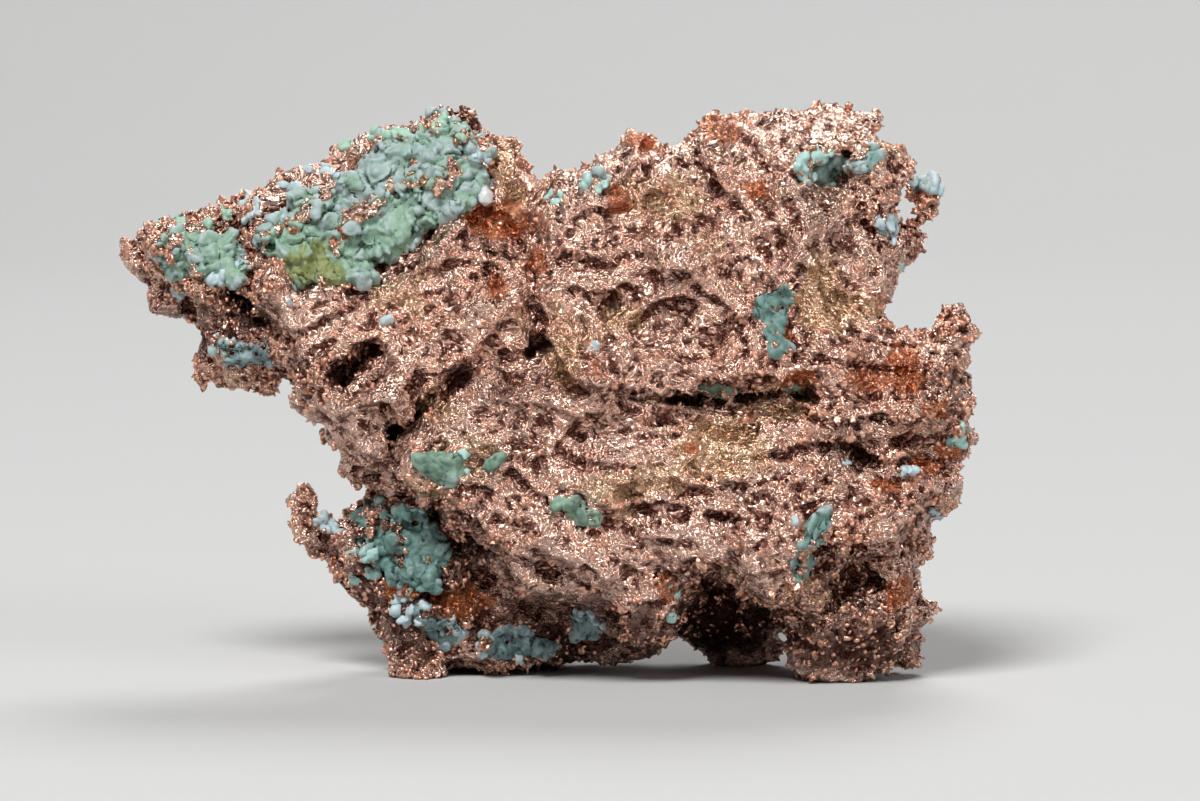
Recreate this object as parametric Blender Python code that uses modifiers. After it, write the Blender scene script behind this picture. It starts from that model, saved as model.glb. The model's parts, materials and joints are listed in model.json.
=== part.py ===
"""Native copper nugget with green mineral crusts.

The copper is one grown mass: a thick hackly slab (shoulder above, belly below), an arm
to the upper left, a claw to the lower left, a foot to the lower right and small prongs
on its rim. Pale green and blue-grey mineral crusts sit in its hollows.

Modelled in metres. +X runs along the length, -Y is the broad face, +Z is up, and the
origin is under the middle of the bounding box, on the plane that the nugget rests on.
"""
import math
import random

import bmesh
import bpy
import numpy as np
from mathutils import Matrix, Vector, noise
from mathutils.bvhtree import BVHTree

# ---------------------------------------------------------------- driving dimensions
# All the numbers below are millimetres; MM turns them into Blender's metres.
MM = 0.001
LENGTH = 80.0          # arm tip to right nub, along X
DEPTH = 34.0           # broad face to back, along Y
HEIGHT = 53.4          # resting plane to the crest of the arm, along Z
GAP = 0.3              # clear gap between a crust and the copper that carries it
FOOT_WEAR = 0.5        # how much of each foot is worn flat
RIM_THICKNESS = 0.66   # thickness of the mass at its rim, as a share of the middle's
RIM_WIDTH = 8.0        # how far in from the rim it is thinner
RIM_KNOBS = 150        # small knobs that make the rim and the back hackly

COARSE = 1.0           # grid of the rounded slabs
FINE = 0.7             # grid of the finished copper
COPPER_FACES = 5450    # triangles of the copper mass

# Slabs of the copper: front y, back y, and the outline as (x, z) seen from the front.
SHOULDER = (-13.5, 7.0, (
    (-27, 41.5), (-24.5, 36.5), (-19.5, 35.5), (-14.5, 38), (-11.5, 41.5), (-8, 43),
    (-3, 44.5), (-0.5, 46), (4, 48), (6.5, 48.5), (8, 50), (12.5, 49.5), (13.5, 51),
    (15.5, 52.5), (19, 51.5), (21.5, 52), (24.5, 53), (27.5, 52), (29.5, 49.5),
    (31, 49), (31, 44.5), (31.6, 42.5), (31.2, 38.5), (29.8, 35.5), (30, 33), (34, 32),
    (36, 30.5), (30, 28.5), (22, 28), (12.5, 28), (8, 27.5), (4, 25.5), (-1, 28),
    (-7, 26.5), (-13, 21), (-16, 21), (-19, 21.5), (-20.2, 25), (-23, 26),
    (-23.5, 29), (-25, 32)))
BELLY = (-15.0, 6.0, (
    (-14, 20), (-13, 22), (-7, 28), (0.5, 28), (8, 26), (13.5, 25.5), (25.5, 27),
    (34, 32), (36.5, 30), (38.3, 27), (38.3, 24), (37.2, 23), (37.2, 17.8), (34.8, 16.5),
    (33.4, 12), (33, 8), (22, 8), (21, 10.5), (18, 12), (10.8, 12.4), (11.5, 5.5),
    (9.5, 4.5), (4, 6), (-3.5, 9.5), (-8, 13.5), (-10.5, 17)))
RIGHT_FOOT = (-12.5, 4.0, (
    (21, 10), (33.2, 10), (33.2, 5.5), (32.5, 3.8), (30.5, 2.2), (28, 1.2), (24.5, 1.2),
    (22.2, 2.8), (22, 6)))
ARM = (-7.0, 10.0, (
    (-38.5, 42), (-36.5, 42.5), (-33, 42), (-31.5, 43.5), (-26.5, 46), (-23.5, 46.5),
    (-18, 48), (-16.5, 50), (-13.5, 52), (-10, 52.5), (-7.5, 51), (-5, 49),
    (-3.5, 47.5), (-3.5, 42.5), (-7, 39.5), (-14.5, 35.5), (-23.5, 33), (-25, 31),
    (-27.5, 29.8), (-30.5, 30.5), (-32.4, 32.5), (-33.4, 36.2), (-36.5, 38), (-38.5, 39)))
CLAW = (-5.0, 12.0, (
    (-17, 16), (-14.5, 18), (-10, 17), (-3.5, 10), (4, 8), (9, 6.5), (11.5, 4.5),
    (8.5, 2.8), (4.5, 2.4), (0, 2), (-3.5, 1.5), (-6.5, 1.5), (-9, 2), (-12, 2),
    (-13.4, 3.5), (-15.6, 6), (-17.6, 8), (-19.5, 10.5), (-20.5, 12), (-19.5, 14)))
BACK_MASS = (2.0, 15.5, (
    (-15, 34), (-4, 43), (4, 45), (15, 47), (24, 45), (30, 36), (33, 26), (30, 12),
    (23, 6), (17.5, 5), (13, 6), (1, 7), (-9, 12), (-15, 22), (-17, 28)))
SLABS = (SHOULDER, BELLY, RIGHT_FOOT, ARM, CLAW, BACK_MASS)

# Lumps that swell the slabs: centre and half sizes.
LUMPS = (
    ((-36.0, 2.0, 40.5), (3.0, 3.5, 2.6)), ((-30.5, 3.0, 41.0), (4.5, 5.0, 3.2)),
    ((-29.0, 4.0, 31.0), (4.5, 4.5, 2.8)), ((-20.0, 4.0, 42.0), (7.0, 7.0, 5.5)),
    ((-11.0, 3.5, 47.0), (6.5, 7.5, 5.5)), ((-5.0, -8.0, 38.0), (9.0, 6.5, 6.5)),
    ((-16.0, -9.0, 29.5), (6.0, 6.0, 4.5)), ((12.0, -9.5, 42.0), (8.0, 6.0, 6.0)),
    ((24.0, -8.0, 41.5), (6.0, 6.5, 7.0)), ((25.0, -2.0, 48.5), (4.5, 6.5, 3.6)),
    ((3.0, -10.0, 21.0), (9.0, 5.5, 7.0)), ((17.0, -10.5, 20.5), (11.0, 5.2, 6.5)),
    ((30.0, -8.0, 24.0), (6.5, 7.0, 5.5)), ((27.5, -8.0, 9.0), (5.2, 6.5, 5.5)),
    ((-10.0, -2.0, 12.0), (6.0, 6.0, 5.0)), ((-12.0, 4.0, 6.0), (5.5, 7.0, 5.0)),
    ((-6.0, 9.0, 27.0), (8.0, 6.0, 9.0)), ((8.0, 10.0, 35.0), (9.0, 6.0, 8.0)),
    ((22.0, 9.0, 33.0), (7.5, 7.0, 8.0)), ((10.0, 10.5, 17.0), (9.0, 5.5, 8.0)),
    ((24.0, 8.0, 15.0), (7.0, 6.5, 7.0)), ((-2.0, 8.0, 7.0), (7.0, 5.5, 5.0)),
    ((35.0, -1.0, 21.0), (2.6, 5.0, 4.0)), ((20.0, 7.0, 46.0), (6.5, 5.5, 4.0)))

# Prongs, knobs and spikes: a path of (x, y, z, radius).
PRONGS = {
    "upper right prong": ((24, -3, 50, 2.6), (27.5, -2, 52.2, 1.9), (31, -2, 52.8, 1.0)),
    "right rim horn": ((29.5, -1, 45.5, 1.8), (30.6, -1, 48, 1.2), (31.2, -1, 49.6, 0.7)),
    "bud prong": ((31, 0, 40.6, 1.8), (33.5, 0, 41.5, 1.3), (35.1, 0.5, 44.1, 1.1),
                  (34.9, 0.5, 46.7, 1.9)),
    "curled prong": ((31.5, -4, 31, 2.4), (35.0, -3, 31.2, 1.9), (38.2, -3, 31.4, 1.3),
                     (39.4, -3, 33.2, 1.1), (38.2, -3, 34.6, 0.9), (36.4, -3, 34.6, 0.8)),
    "right nub": ((35, -3, 25.5, 2.2), (38.4, -3, 26.2, 1.2)),
    "arm tip knob": ((-35, 1, 40.5, 2.5), (-38.3, 1, 41.6, 1.6), (-39.2, 1, 39.4, 1.2)),
    "arm tip hook": ((-38.6, 2, 37.9, 0.9), (-38.6, 2, 36.3, 1.0), (-37.4, 2, 34.9, 1.1),
                     (-35.5, 2, 34.6, 1.0), (-34.0, 2, 36.2, 1.3)),
    "arm drop knob": ((-31.5, 5, 31.2, 1.8), (-33.4, 5, 29.4, 1.3), (-34.4, 5, 28, 1.2)),
    "arm drop fin": ((-28.5, 5, 30, 2.0), (-28, 5, 27.4, 0.9)),
    "claw tip": ((-17.5, 2, 10, 2.4), (-20.5, 2, 12.4, 2.0), (-23, 2, 13.8, 1.7),
                 (-24.2, 2, 15.6, 1.3), (-24.5, 2, 17.4, 0.9)),
    "arm comb": ((-6, 1, 48, 2.0), (-4, 1, 48.6, 1.0), (-3.0, 1, 47, 0.8),
                 (-3.2, 1, 45, 0.8)),
    "arm spike": ((-25, 3, 45, 1.5), (-24.5, 2, 47.6, 0.8)),
    "crest": ((-12, 3, 50.5, 2.0), (-10.2, 3, 53, 1.2)),
    "slab rim spur": ((-18, -6, 21.5, 2.0), (-19.5, -6, 19.8, 1.0)),
    "cheek": ((7.0, -8, 8.5, 3.0), (10.5, -9, 6.4, 2.0), (11.0, -9, 5.2, 1.1)),
    "front toe": ((-12, -2, 5, 3.2), (-12.6, -4.5, 1.4, 2.5), (-12.6, -5, -0.8, 2.0)),
    "back toe": ((-3, 6, 5, 4.0), (-4, 8.5, 1.8, 3.2), (-4, 9, -0.6, 2.2)),
    "right toe": ((27.5, -6, 4.5, 3.4), (28.2, -8.5, 1.4, 2.5), (28.4, -9, -0.8, 2.1)),
    "right back toe": ((16, 9, 8, 5.0), (17, 11, 3, 3.6), (17.5, 12, -0.6, 2.3))}

# Folds of the broad face: path of (x, z), half width, and height (a groove is negative).
FOLDS = (
    (((-21, 26), (-17.5, 27.5), (-13.5, 30.5), (-8.5, 34.5), (-3.5, 37.5)), 1.9, 2.2),
    (((-24, 36.5), (-17, 36.5), (-10.5, 41.5), (-6.5, 43.5)), 1.5, 1.3),
    (((-22, 30), (-20.5, 32.8), (-17.5, 33.5), (-15, 32)), 1.2, 1.6),
    (((-6, 31), (-8.5, 27), (-9.5, 23)), 1.4, 1.0),
    (((2, 47), (-0.5, 40.5), (-0.3, 37), (1.5, 32.5), (3.5, 28.5)), 2.0, 2.2),
    (((4, 28.5), (8, 30), (12.5, 30.3), (17, 30.8), (22, 30.6), (27.5, 29.5)), 1.8, 2.4),
    (((6, 33), (10, 37), (15, 38), (19, 34)), 1.5, 1.4),
    (((6, 46), (10, 41), (14, 40.5)), 1.4, 1.2),
    (((0.5, 26), (4, 23.5), (11.5, 21), (19, 18.5)), 4.5, 1.6),
    (((-7, 16), (0.5, 13.5), (10.5, 13), (18, 12.6), (22, 11)), 1.9, 1.6),
    (((21.5, 52), (23, 46), (22, 40)), 1.6, 1.6),
    (((26, 41), (29, 37), (30, 34)), 1.7, 1.3),
    (((25.5, 32), (31, 32.5), (36.5, 32)), 1.6, 1.5),
    (((20, 25), (26.5, 26), (35, 27.5)), 1.5, 1.7),
    (((8, 15), (16.5, 15.5), (27.5, 16.5), (35, 18)), 1.4, 1.3),
    (((-13, 21), (-9, 19.5), (-5, 19.5)), 1.5, 1.5),
    (((22, 9), (26, 6.5), (31, 7.5)), 1.5, 1.2),
    (((-1.2, 40.5), (-1.5, 37), (-0.8, 33)), 1.0, -2.0),
    (((-8, 40.3), (-5.5, 42), (-3.3, 42.5)), 2.2, -2.4),
    (((8, 43.5), (13, 44.5), (18.5, 41.5)), 2.8, -1.5),
    (((5, 26.4), (12, 26), (19, 26.2), (25, 26.6)), 1.8, -2.2),
    (((22, 22.8), (27.5, 22.4), (35, 22.8)), 1.4, -1.8),
    (((-6, 23.5), (-1, 22), (3, 24.5)), 2.3, -1.6),
    (((25, 37), (29, 36)), 1.8, -1.3),
    (((5, 36), (9, 34.5), (13, 36)), 1.7, -1.4),
    (((-16, 34), (-10, 37.5), (-6, 39)), 1.4, -1.2),
    (((24, 12.5), (29, 13), (33, 12)), 1.4, -1.3))

# Hollows cut into the copper: path of (x, y, z), half height, and half reach along Y.
HOLLOWS = (
    (((-19.6, -11, 29.2), (-18, -11, 30.6), (-16.4, -11, 31.4)), 1.7, 6.0),
    (((-13.4, -11, 24.4), (-11, -11, 27), (-8.7, -11, 29.2)), 0.8, 6.5),
    (((-15.2, -11, 23.2), (-14.5, -11, 25)), 1.0, 5.0),
    (((-2.0, -14, 31), (-1, -14, 32.4)), 1.0, 4.5),
    (((-5.1, -14, 32.4), (-4.6, -14, 30.2)), 0.6, 3.5),
    (((0.6, -14, 30), (1.9, -14, 28.3)), 0.7, 3.5),
    (((6.5, -13, 28.4), (12.5, -13, 28), (17, -13, 28.2), (22.5, -13, 28.6)), 0.9, 5.0),
    (((16.2, -13, 45.2), (16.6, -13, 45.0)), 0.8, 2.5),
    (((26, -12, 10), (29.3, -12, 10.4)), 1.2, 4.0),
    (((24.4, -10, 47.5), (27, -10, 48.7)), 1.3, 5.0),
    (((0, -12, 7.5), (5, -12, 6.2)), 2.0, 4.5),
    (((-8.6, -9, 14.2), (-6, -9, 13)), 0.9, 4.0),
    (((-29.8, -4, 36.2), (-27.3, -4, 34.6)), 1.6, 5.0),
    (((-12.5, 13, 24), (-9, 13, 22)), 1.3, 4.5),
    (((14, 15, 26), (18, 15, 25), (21.5, 15, 26)), 1.2, 4.0),
    (((3, 15, 27), (5, 15, 24.5)), 1.1, 4.5))

# Mineral crusts: where they are seen from, their outline there, the size of their
# grains, how deep the copper is hollowed for them, how far they stand proud, and faces.
FRONT, BACK = "front", "back"
CRUSTS = {
    "upper_arm_crust": (FRONT, (
        (-25.9, 39.4), (-27.0, 42), (-26.6, 44.6), (-23.6, 45.6), (-20.2, 46.9), (-17.4, 48.4),
        (-14.6, 51.2), (-10.6, 52.4), (-7.7, 50.8), (-5.3, 48.8), (-5.6, 47.4), (-8.2, 44.6),
        (-11.6, 42.4), (-15.8, 38.9), (-19.6, 36.6), (-23.6, 37.2)), 1.9, 2.2, 1.1, 470),
    "arm_tip_crust": (FRONT, (
        (-37.5, 39.6), (-37.3, 41.4), (-34.0, 42.3), (-29.6, 41.9), (-28.6, 40.6),
        (-28.5, 37.2), (-30.2, 36.8), (-31.2, 39.2), (-35.5, 38.1)), 1.4, 1.4, 0.9, 160),
    "arm_underside_crust": (FRONT, (
        (-33.4, 33.5), (-31.3, 33), (-29, 32.1), (-26.2, 32.3), (-26.2, 30.5),
        (-29.9, 29.8), (-32.5, 31.2)), 1.3, 1.0, 1.0, 130),
    "notch_crust": (FRONT, (
        (2.4, 47.9), (4.2, 48.2), (5.5, 47.4), (4.4, 46.6), (2.6, 46.6)), 0.9, 0.7, 0.6, 50),
    "upper_pocket_crust": (FRONT, (
        (21.7, 47.7), (22.3, 50.5), (24, 50.5), (26, 48.9), (28.4, 50.8), (29.7, 50.4),
        (29.3, 48.4), (26, 46.9), (22.7, 46.5)), 1.2, 1.8, 0.7, 140),
    "prong_bud_crust": (FRONT, (
        (33.4, 47.1), (34.8, 48.1), (36, 47.1), (35.1, 45.6), (33.6, 45.7)), 0.9, 0.5, 0.8, 70),
    "rim_sliver_crust": (FRONT, (
        (28.6, 44.4), (29.6, 44.4), (30.6, 43), (32, 42), (31.3, 41.4), (29.5, 42.2)),
        0.8, 0.7, 0.5, 50),
    "centre_vein_crust": (FRONT, (
        (17.2, 35.2), (18.6, 38.2), (19.6, 37.8), (19.4, 36.2), (20.2, 36.9),
        (20.9, 38.7), (21.9, 37.3), (21.7, 35.2), (21.3, 32.6), (21.4, 31.2),
        (19.8, 30.8), (19.4, 32.8), (18.2, 34.4)), 0.9, 1.1, 0.5, 140),
    "ledge_crust_left": (FRONT, (
        (11.9, 29), (16.7, 29.1), (16.7, 27.3), (13.5, 27.1)), 0.9, 0.6, 1.4, 80),
    "ledge_crust_right": (FRONT, (
        (21.3, 29.6), (23.9, 29.7), (23.6, 27.9), (21.8, 27.3)), 0.9, 0.6, 1.4, 70),
    "blue_bead": (FRONT, (
        (3.1, 33.9), (3.7, 34.3), (4.4, 33.8), (4.3, 32.9), (3.3, 32.7)), 0.9, 0.6, 0.7, 50),
    "cheek_fleck_crust": (FRONT, (
        (-7.5, 20.6), (-6.2, 22.2), (-3.8, 23.2), (-3.9, 22), (-5.8, 20.8)),
        0.8, 1.0, 0.4, 50),
    "left_slot_crust": (FRONT, (
        (-13, 22.2), (-10.7, 23.2), (-8.4, 22.2), (-8.6, 19.2), (-10.7, 19.4)),
        1.1, 1.6, 0.5, 90),
    "belly_crust": (FRONT, (
        (-1.4, 18.7), (0.5, 19.0), (4.2, 17.9), (4.5, 15.9), (3.3, 15.4), (0.9, 17.1)),
        1.0, 1.6, 0.3, 100),
    "claw_crust_upper": (FRONT, (
        (-19.8, 15.5), (-17.7, 16.1), (-14.4, 17), (-10.7, 16.2), (-10.4, 12.8),
        (-11.1, 8.8), (-13.9, 8.4), (-16.2, 11.1), (-19.1, 13.7)), 1.3, 1.2, 0.9, 200),
    "claw_crust_lower": (FRONT, (
        (-13.2, 6.6), (-10.9, 7.4), (-9.2, 5.8), (-9.5, 3.1), (-12, 2.9)), 1.2, 0.9, 0.8, 100),
    "claw_foot_crust": (FRONT, (
        (-7.4, 4.6), (-3.3, 5.7), (0, 4.1), (-0.7, 2.1), (-5.1, 2.0)), 1.2, 0.9, 0.9, 110),
    "claw_side_crust": (FRONT, (
        (0.9, 6.6), (4, 7.2), (6, 5.5), (4.2, 3.6), (1.6, 4.2)), 1.1, 0.8, 0.8, 80),
    "lower_vein_crust": (FRONT, (
        (23.5, 17.4), (24.9, 18.1), (25.8, 16.9), (25.2, 14.6), (23.9, 13.9), (23.8, 11.1),
        (22.4, 10.1), (21.2, 11.3), (21.5, 13.6), (23, 15)), 0.9, 1.1, 0.5, 120),
    "right_edge_crust": (FRONT, (
        (36, 24.5), (37.8, 24.5), (37.7, 22.7), (36.2, 22.5)), 0.9, 0.6, 0.7, 50),
    "back_upper_crust": (BACK, (
        (3, 41), (8, 42.5), (14, 40.5), (13, 36.5), (7, 35), (3.5, 37.5)),
        1.6, 1.5, 0.9, 170),
    "back_lower_crust": (BACK, (
        (10, 18.5), (16, 20.5), (21, 18), (20, 14.5), (14, 13), (10.5, 15)),
        1.5, 1.4, 0.9, 150),
    "back_arm_crust": (BACK, (
        (-29, 42), (-23, 44.5), (-16, 46.5), (-13.5, 43), (-18, 39.5), (-25, 38.5)),
        1.7, 1.5, 1.0, 140),
    "back_claw_crust": (BACK, (
        (-14, 13.5), (-9, 14.5), (-6, 11), (-8, 7), (-13, 8)), 1.4, 1.2, 0.8, 120)}

# Finishes: base colour, metallic, roughness.
COPPER = ((0.80, 0.40, 0.28, 1.0), 1.0, 0.32)
GREEN = ((0.30, 0.52, 0.42, 1.0), 0.0, 0.45)
BLUE_GREY = ((0.42, 0.56, 0.56, 1.0), 0.0, 0.45)
BLUE_GREY_CRUSTS = ("arm_underside_crust", "prong_bud_crust",
                    "rim_sliver_crust", "blue_bead", "claw_crust_lower",
                    "claw_foot_crust", "claw_side_crust")


# ---------------------------------------------------------------- scene and modifiers
def clear_scene():
    for obj in list(bpy.data.objects):
        bpy.data.objects.remove(obj, do_unlink=True)


def new_collection(name):
    collection = bpy.data.collections.new(name)
    bpy.context.scene.collection.children.link(collection)
    return collection


def material(name, finish):
    colour, metallic, roughness = finish
    made = bpy.data.materials.new(name)
    made.use_nodes = True
    shader = made.node_tree.nodes["Principled BSDF"]
    shader.inputs["Base Color"].default_value = colour
    shader.inputs["Metallic"].default_value = metallic
    shader.inputs["Roughness"].default_value = roughness
    made.diffuse_color = colour
    return made


def link_mesh(name, mesh, collection):
    obj = bpy.data.objects.new(name, mesh)
    collection.objects.link(obj)
    return obj


def bake(obj):
    """Turn the object's modifiers, or its curve, into plain mesh."""
    depsgraph = bpy.context.evaluated_depsgraph_get()
    mesh = bpy.data.meshes.new_from_object(obj.evaluated_get(depsgraph))
    mesh.transform(obj.matrix_world)
    name, collection = obj.name, obj.users_collection[0]
    bpy.data.objects.remove(obj, do_unlink=True)
    return link_mesh(name, mesh, collection)


def join(name, objects, collection):
    """One object that holds the meshes of several, still as separate shells."""
    joined = bmesh.new()
    for obj in objects:
        joined.from_mesh(obj.data)
        bpy.data.objects.remove(obj, do_unlink=True)
    mesh = bpy.data.meshes.new(name)
    joined.to_mesh(mesh)
    joined.free()
    return link_mesh(name, mesh, collection)


def remesh(obj, size):
    skin = obj.modifiers.new("Skin", "REMESH")
    skin.mode = "VOXEL"
    skin.voxel_size = size * MM
    skin.adaptivity = 0.0
    return bake(obj)


def smooth(obj, factor, times):
    soft = obj.modifiers.new("Soften", "SMOOTH")
    soft.factor = factor
    soft.iterations = times
    return bake(obj)


def decimate(obj, faces):
    now = sum(len(polygon.vertices) - 2 for polygon in obj.data.polygons)
    fewer = obj.modifiers.new("Fewer", "DECIMATE")
    fewer.ratio = min(1.0, faces / now)
    fewer.use_collapse_triangulate = True
    return bake(obj)


def cut(obj, cutter):
    saw = obj.modifiers.new("Cut", "BOOLEAN")
    saw.operation = "DIFFERENCE"
    saw.solver = "EXACT"
    saw.object = cutter
    return bake(obj)


def keep_largest_shell(obj):
    """Drop loose crumbs, so that one closed shell is left, all in triangles."""
    shell = bmesh.new()
    shell.from_mesh(obj.data)
    left = set(shell.verts)
    shells = []
    while left:
        grown = {left.pop()}
        front = list(grown)
        while front:
            for edge in front.pop().link_edges:
                for vert in edge.verts:
                    if vert in left:
                        left.discard(vert)
                        grown.add(vert)
                        front.append(vert)
        shells.append(grown)
    biggest = max(shells, key=len)
    crumbs = [vert for one in shells if one is not biggest for vert in one]
    bmesh.ops.delete(shell, geom=crumbs, context="VERTS")
    bmesh.ops.triangulate(shell, faces=shell.faces[:])
    shell.to_mesh(obj.data)
    shell.free()
    obj.data.update()
    return obj


# ---------------------------------------------------------------- forms
def slab(name, front, back, outline, collection):
    curve = bpy.data.curves.new(name, "CURVE")
    curve.dimensions = "2D"
    curve.fill_mode = "BOTH"
    curve.extrude = (back - front) / 2 * MM
    spline = curve.splines.new("POLY")
    spline.points.add(len(outline) - 1)
    for point, (x, z) in zip(spline.points, outline):
        point.co = (x * MM, z * MM, 0, 1)
    spline.use_cyclic_u = True
    obj = link_mesh(name, curve, collection)
    obj.location.y = (front + back) / 2 * MM
    obj.rotation_euler.x = math.pi / 2
    bpy.context.view_layer.update()
    return bake(obj)


def ball(name, centre, half_sizes, collection, detail=3, turn=Matrix()):
    """An ellipsoid, which may be turned."""
    mesh = bpy.data.meshes.new(name)
    form = bmesh.new()
    place = Matrix.Translation(Vector(centre) * MM) @ turn
    bmesh.ops.create_icosphere(form, subdivisions=detail, radius=MM,
                               matrix=place @ Matrix.Diagonal((*half_sizes, 1)))
    form.to_mesh(mesh)
    form.free()
    return link_mesh(name, mesh, collection)


def prong(name, path, collection):
    """A tapering tube, with a ball at each point so that its bends stay round."""
    curve = bpy.data.curves.new(name, "CURVE")
    curve.dimensions = "3D"
    curve.bevel_depth = MM
    curve.bevel_resolution = 2
    curve.use_fill_caps = True
    spline = curve.splines.new("POLY")
    spline.points.add(len(path) - 1)
    for point, (x, y, z, radius) in zip(spline.points, path):
        point.co = (x * MM, y * MM, z * MM, 1)
        point.radius = radius
    pieces = [bake(link_mesh(name, curve, collection))]
    for x, y, z, radius in path:
        pieces.append(ball(name, (x, y, z), (radius,) * 3, collection, detail=2))
    return pieces


def hollow(name, path, half_height, half_reach, collection):
    """A cutter that follows a path: overlapping balls stretched along Y."""
    balls = []
    for start, end in zip(path, path[1:]):
        start, end = Vector(start), Vector(end)
        steps = max(2, math.ceil((end - start).length / half_height))
        for step in range(steps + 1):
            centre = start.lerp(end, step / steps)
            swell = 1 + 0.25 * noise.noise(centre * 0.9)
            sizes = (half_height * swell, half_reach, half_height * swell)
            balls.append(ball(name, centre, sizes, collection, detail=2))
    return remesh(join(name, balls, collection), half_height * 0.4)


# ---------------------------------------------------------------- measuring helpers
def coordinates(mesh, field="co"):
    values = np.empty(len(mesh.vertices) * 3)
    if field == "co":
        mesh.vertices.foreach_get("co", values)
        return values.reshape(-1, 3) / MM
    mesh.vertex_normals.foreach_get("vector", values)
    return values.reshape(-1, 3)


def set_coordinates(mesh, places):
    mesh.vertices.foreach_set("co", (places * MM).ravel())
    mesh.update()


def distance_to_path(points, path):
    """Distance of 2-D points to the nearest stretch of a path."""
    nearest = np.full(len(points), 1e9)
    for start, end in zip(path, path[1:]):
        start, end = np.array(start), np.array(end)
        along = end - start
        part = np.clip((points - start) @ along / (along @ along), 0, 1)
        gap = np.linalg.norm(points - start - part[:, None] * along, axis=1)
        nearest = np.minimum(nearest, gap)
    return nearest


def inside(points, outline):
    """Which 2-D points lie inside a closed outline."""
    hits = np.zeros(len(points), bool)
    for (x1, z1), (x2, z2) in zip(outline, outline[1:] + outline[:1]):
        crosses = (z1 > points[:, 1]) != (z2 > points[:, 1])
        if z1 != z2:
            where = x1 + (points[:, 1] - z1) * (x2 - x1) / (z2 - z1)
            hits ^= crosses & (points[:, 0] < where)
    return hits


def depth_inside(points, outline):
    """Distance to the outline, positive inside and negative outside."""
    edge = distance_to_path(points, outline + outline[:1])
    return np.where(inside(points, outline), edge, -edge)


def noise_at(points, size, shift=0.0):
    """Smooth noise, about -1 to 1, with lumps of the given size."""
    move = Vector((shift, 2 * shift, 3 * shift))
    return np.array([noise.noise(Vector(p) / size + move) for p in points])


def noise_vector(place):
    """Three independent noises, about -1 to 1 each."""
    return Vector([noise.noise(place + Vector((shift, 0, 0))) for shift in (0, 31, 67)])


def hackle_at(points, size, shift=0.0):
    """Sharp-crested noise, 0 to about 1, like the torn skin of grown copper."""
    return 1 - np.abs(noise_at(points, size, shift)) * 2


# ---------------------------------------------------------------- the copper
def sculpt_copper(obj):
    """Fold the broad face, bed the crusts and roughen the whole skin."""
    mesh = obj.data
    places = coordinates(mesh)
    normals = coordinates(mesh, "normal")
    across = places[:, (0, 2)]
    facing = np.clip(-normals[:, 1] * 1.6 - 0.2, 0, 1)
    rim_depth = np.max([depth_inside(across, form[2]) for form in SLABS], axis=0)
    full = RIM_THICKNESS + (1 - RIM_THICKNESS) * np.clip(rim_depth / RIM_WIDTH, 0, 1) ** 0.7
    places[:, 1] *= full
    lift = np.zeros(len(places))
    for path, half_width, height in FOLDS:
        reach = distance_to_path(across, path) / half_width
        lift += height * np.exp(-reach ** 2)
    places[:, 1] -= lift * facing
    for view, outline, _, bed, _, _ in CRUSTS.values():
        side = 1 if view == FRONT else -1
        front = np.clip(-side * normals[:, 1] * 2.5, 0, 1)
        sink = np.clip(depth_inside(across, outline) / 1.0 + 0.5, 0, 1)
        places[:, 1] += side * bed * sink * front
    set_coordinates(mesh, places)

    normals = coordinates(mesh, "normal")
    rough = 1 - 0.35 * np.clip(-normals[:, 1] * 1.5 - 0.3, 0, 1)
    swell = 1.2 * noise_at(places, 9.0)
    crags = 2.0 * (hackle_at(places, 5.0, 3.1) - 0.5)
    grit = 1.3 * (hackle_at(places, 2.9, 7.7) - 0.5)
    amount = swell + (crags + grit) * rough
    amount = np.where(rim_depth < 1.0, np.clip(amount, -0.15, 0.8), amount)
    set_coordinates(mesh, places + normals * amount[:, None])
    return obj


def rim_knobs(body, collection):
    """Small knobs and spikes scattered over the skin, few on the broad face."""
    chance = random.Random(7)
    places = coordinates(body.data)
    normals = coordinates(body.data, "normal")
    knobs = []
    while len(knobs) < RIM_KNOBS:
        pick = chance.randrange(len(places))
        size = chance.uniform(0.7, 1.5)
        turn = Vector(normals[pick]).to_track_quat("Z", "Y").to_matrix().to_4x4()
        if chance.random() < max(0.06, 1 + 1.3 * normals[pick][1]):
            centre = Vector(places[pick] + normals[pick] * size * 0.5)
            sizes = (size, size * chance.uniform(0.7, 1.2), size * chance.uniform(0.9, 2.0))
            knobs.append(ball(f"knob {len(knobs)}", centre, sizes, collection, 2, turn))
    return knobs


def make_copper(collection, cutters):
    slabs = [slab(f"slab {n}", *form, collection) for n, form in enumerate(SLABS)]
    body = remesh(join("slabs", slabs, collection), COARSE)
    body = smooth(body, 0.5, 9)
    forms = [body] + rim_knobs(body, collection)
    for n, (centre, half_sizes) in enumerate(LUMPS):
        forms.append(ball(f"lump {n}", centre, half_sizes, collection))
    for name, path in PRONGS.items():
        forms += prong(name, path, collection)
    copper = remesh(join("copper_mass", forms, collection), FINE)
    copper = remesh(sculpt_copper(smooth(copper, 0.5, 1)), FINE)
    hollows = [hollow(f"hollow {n}", *form, cutters) for n, form in enumerate(HOLLOWS)]
    cutter = remesh(join("hollows", hollows, cutters), 0.5)
    cutter.hide_render = True
    cutter.display_type = "WIRE"
    copper = cut(copper, cutter)
    copper = keep_largest_shell(remesh(copper, FINE))
    copper = decimate(copper, COPPER_FACES)
    copper = cut(copper, ground(cutters))
    copper = keep_largest_shell(copper)
    copper.name = copper.data.name = "copper_mass"
    return copper


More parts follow.
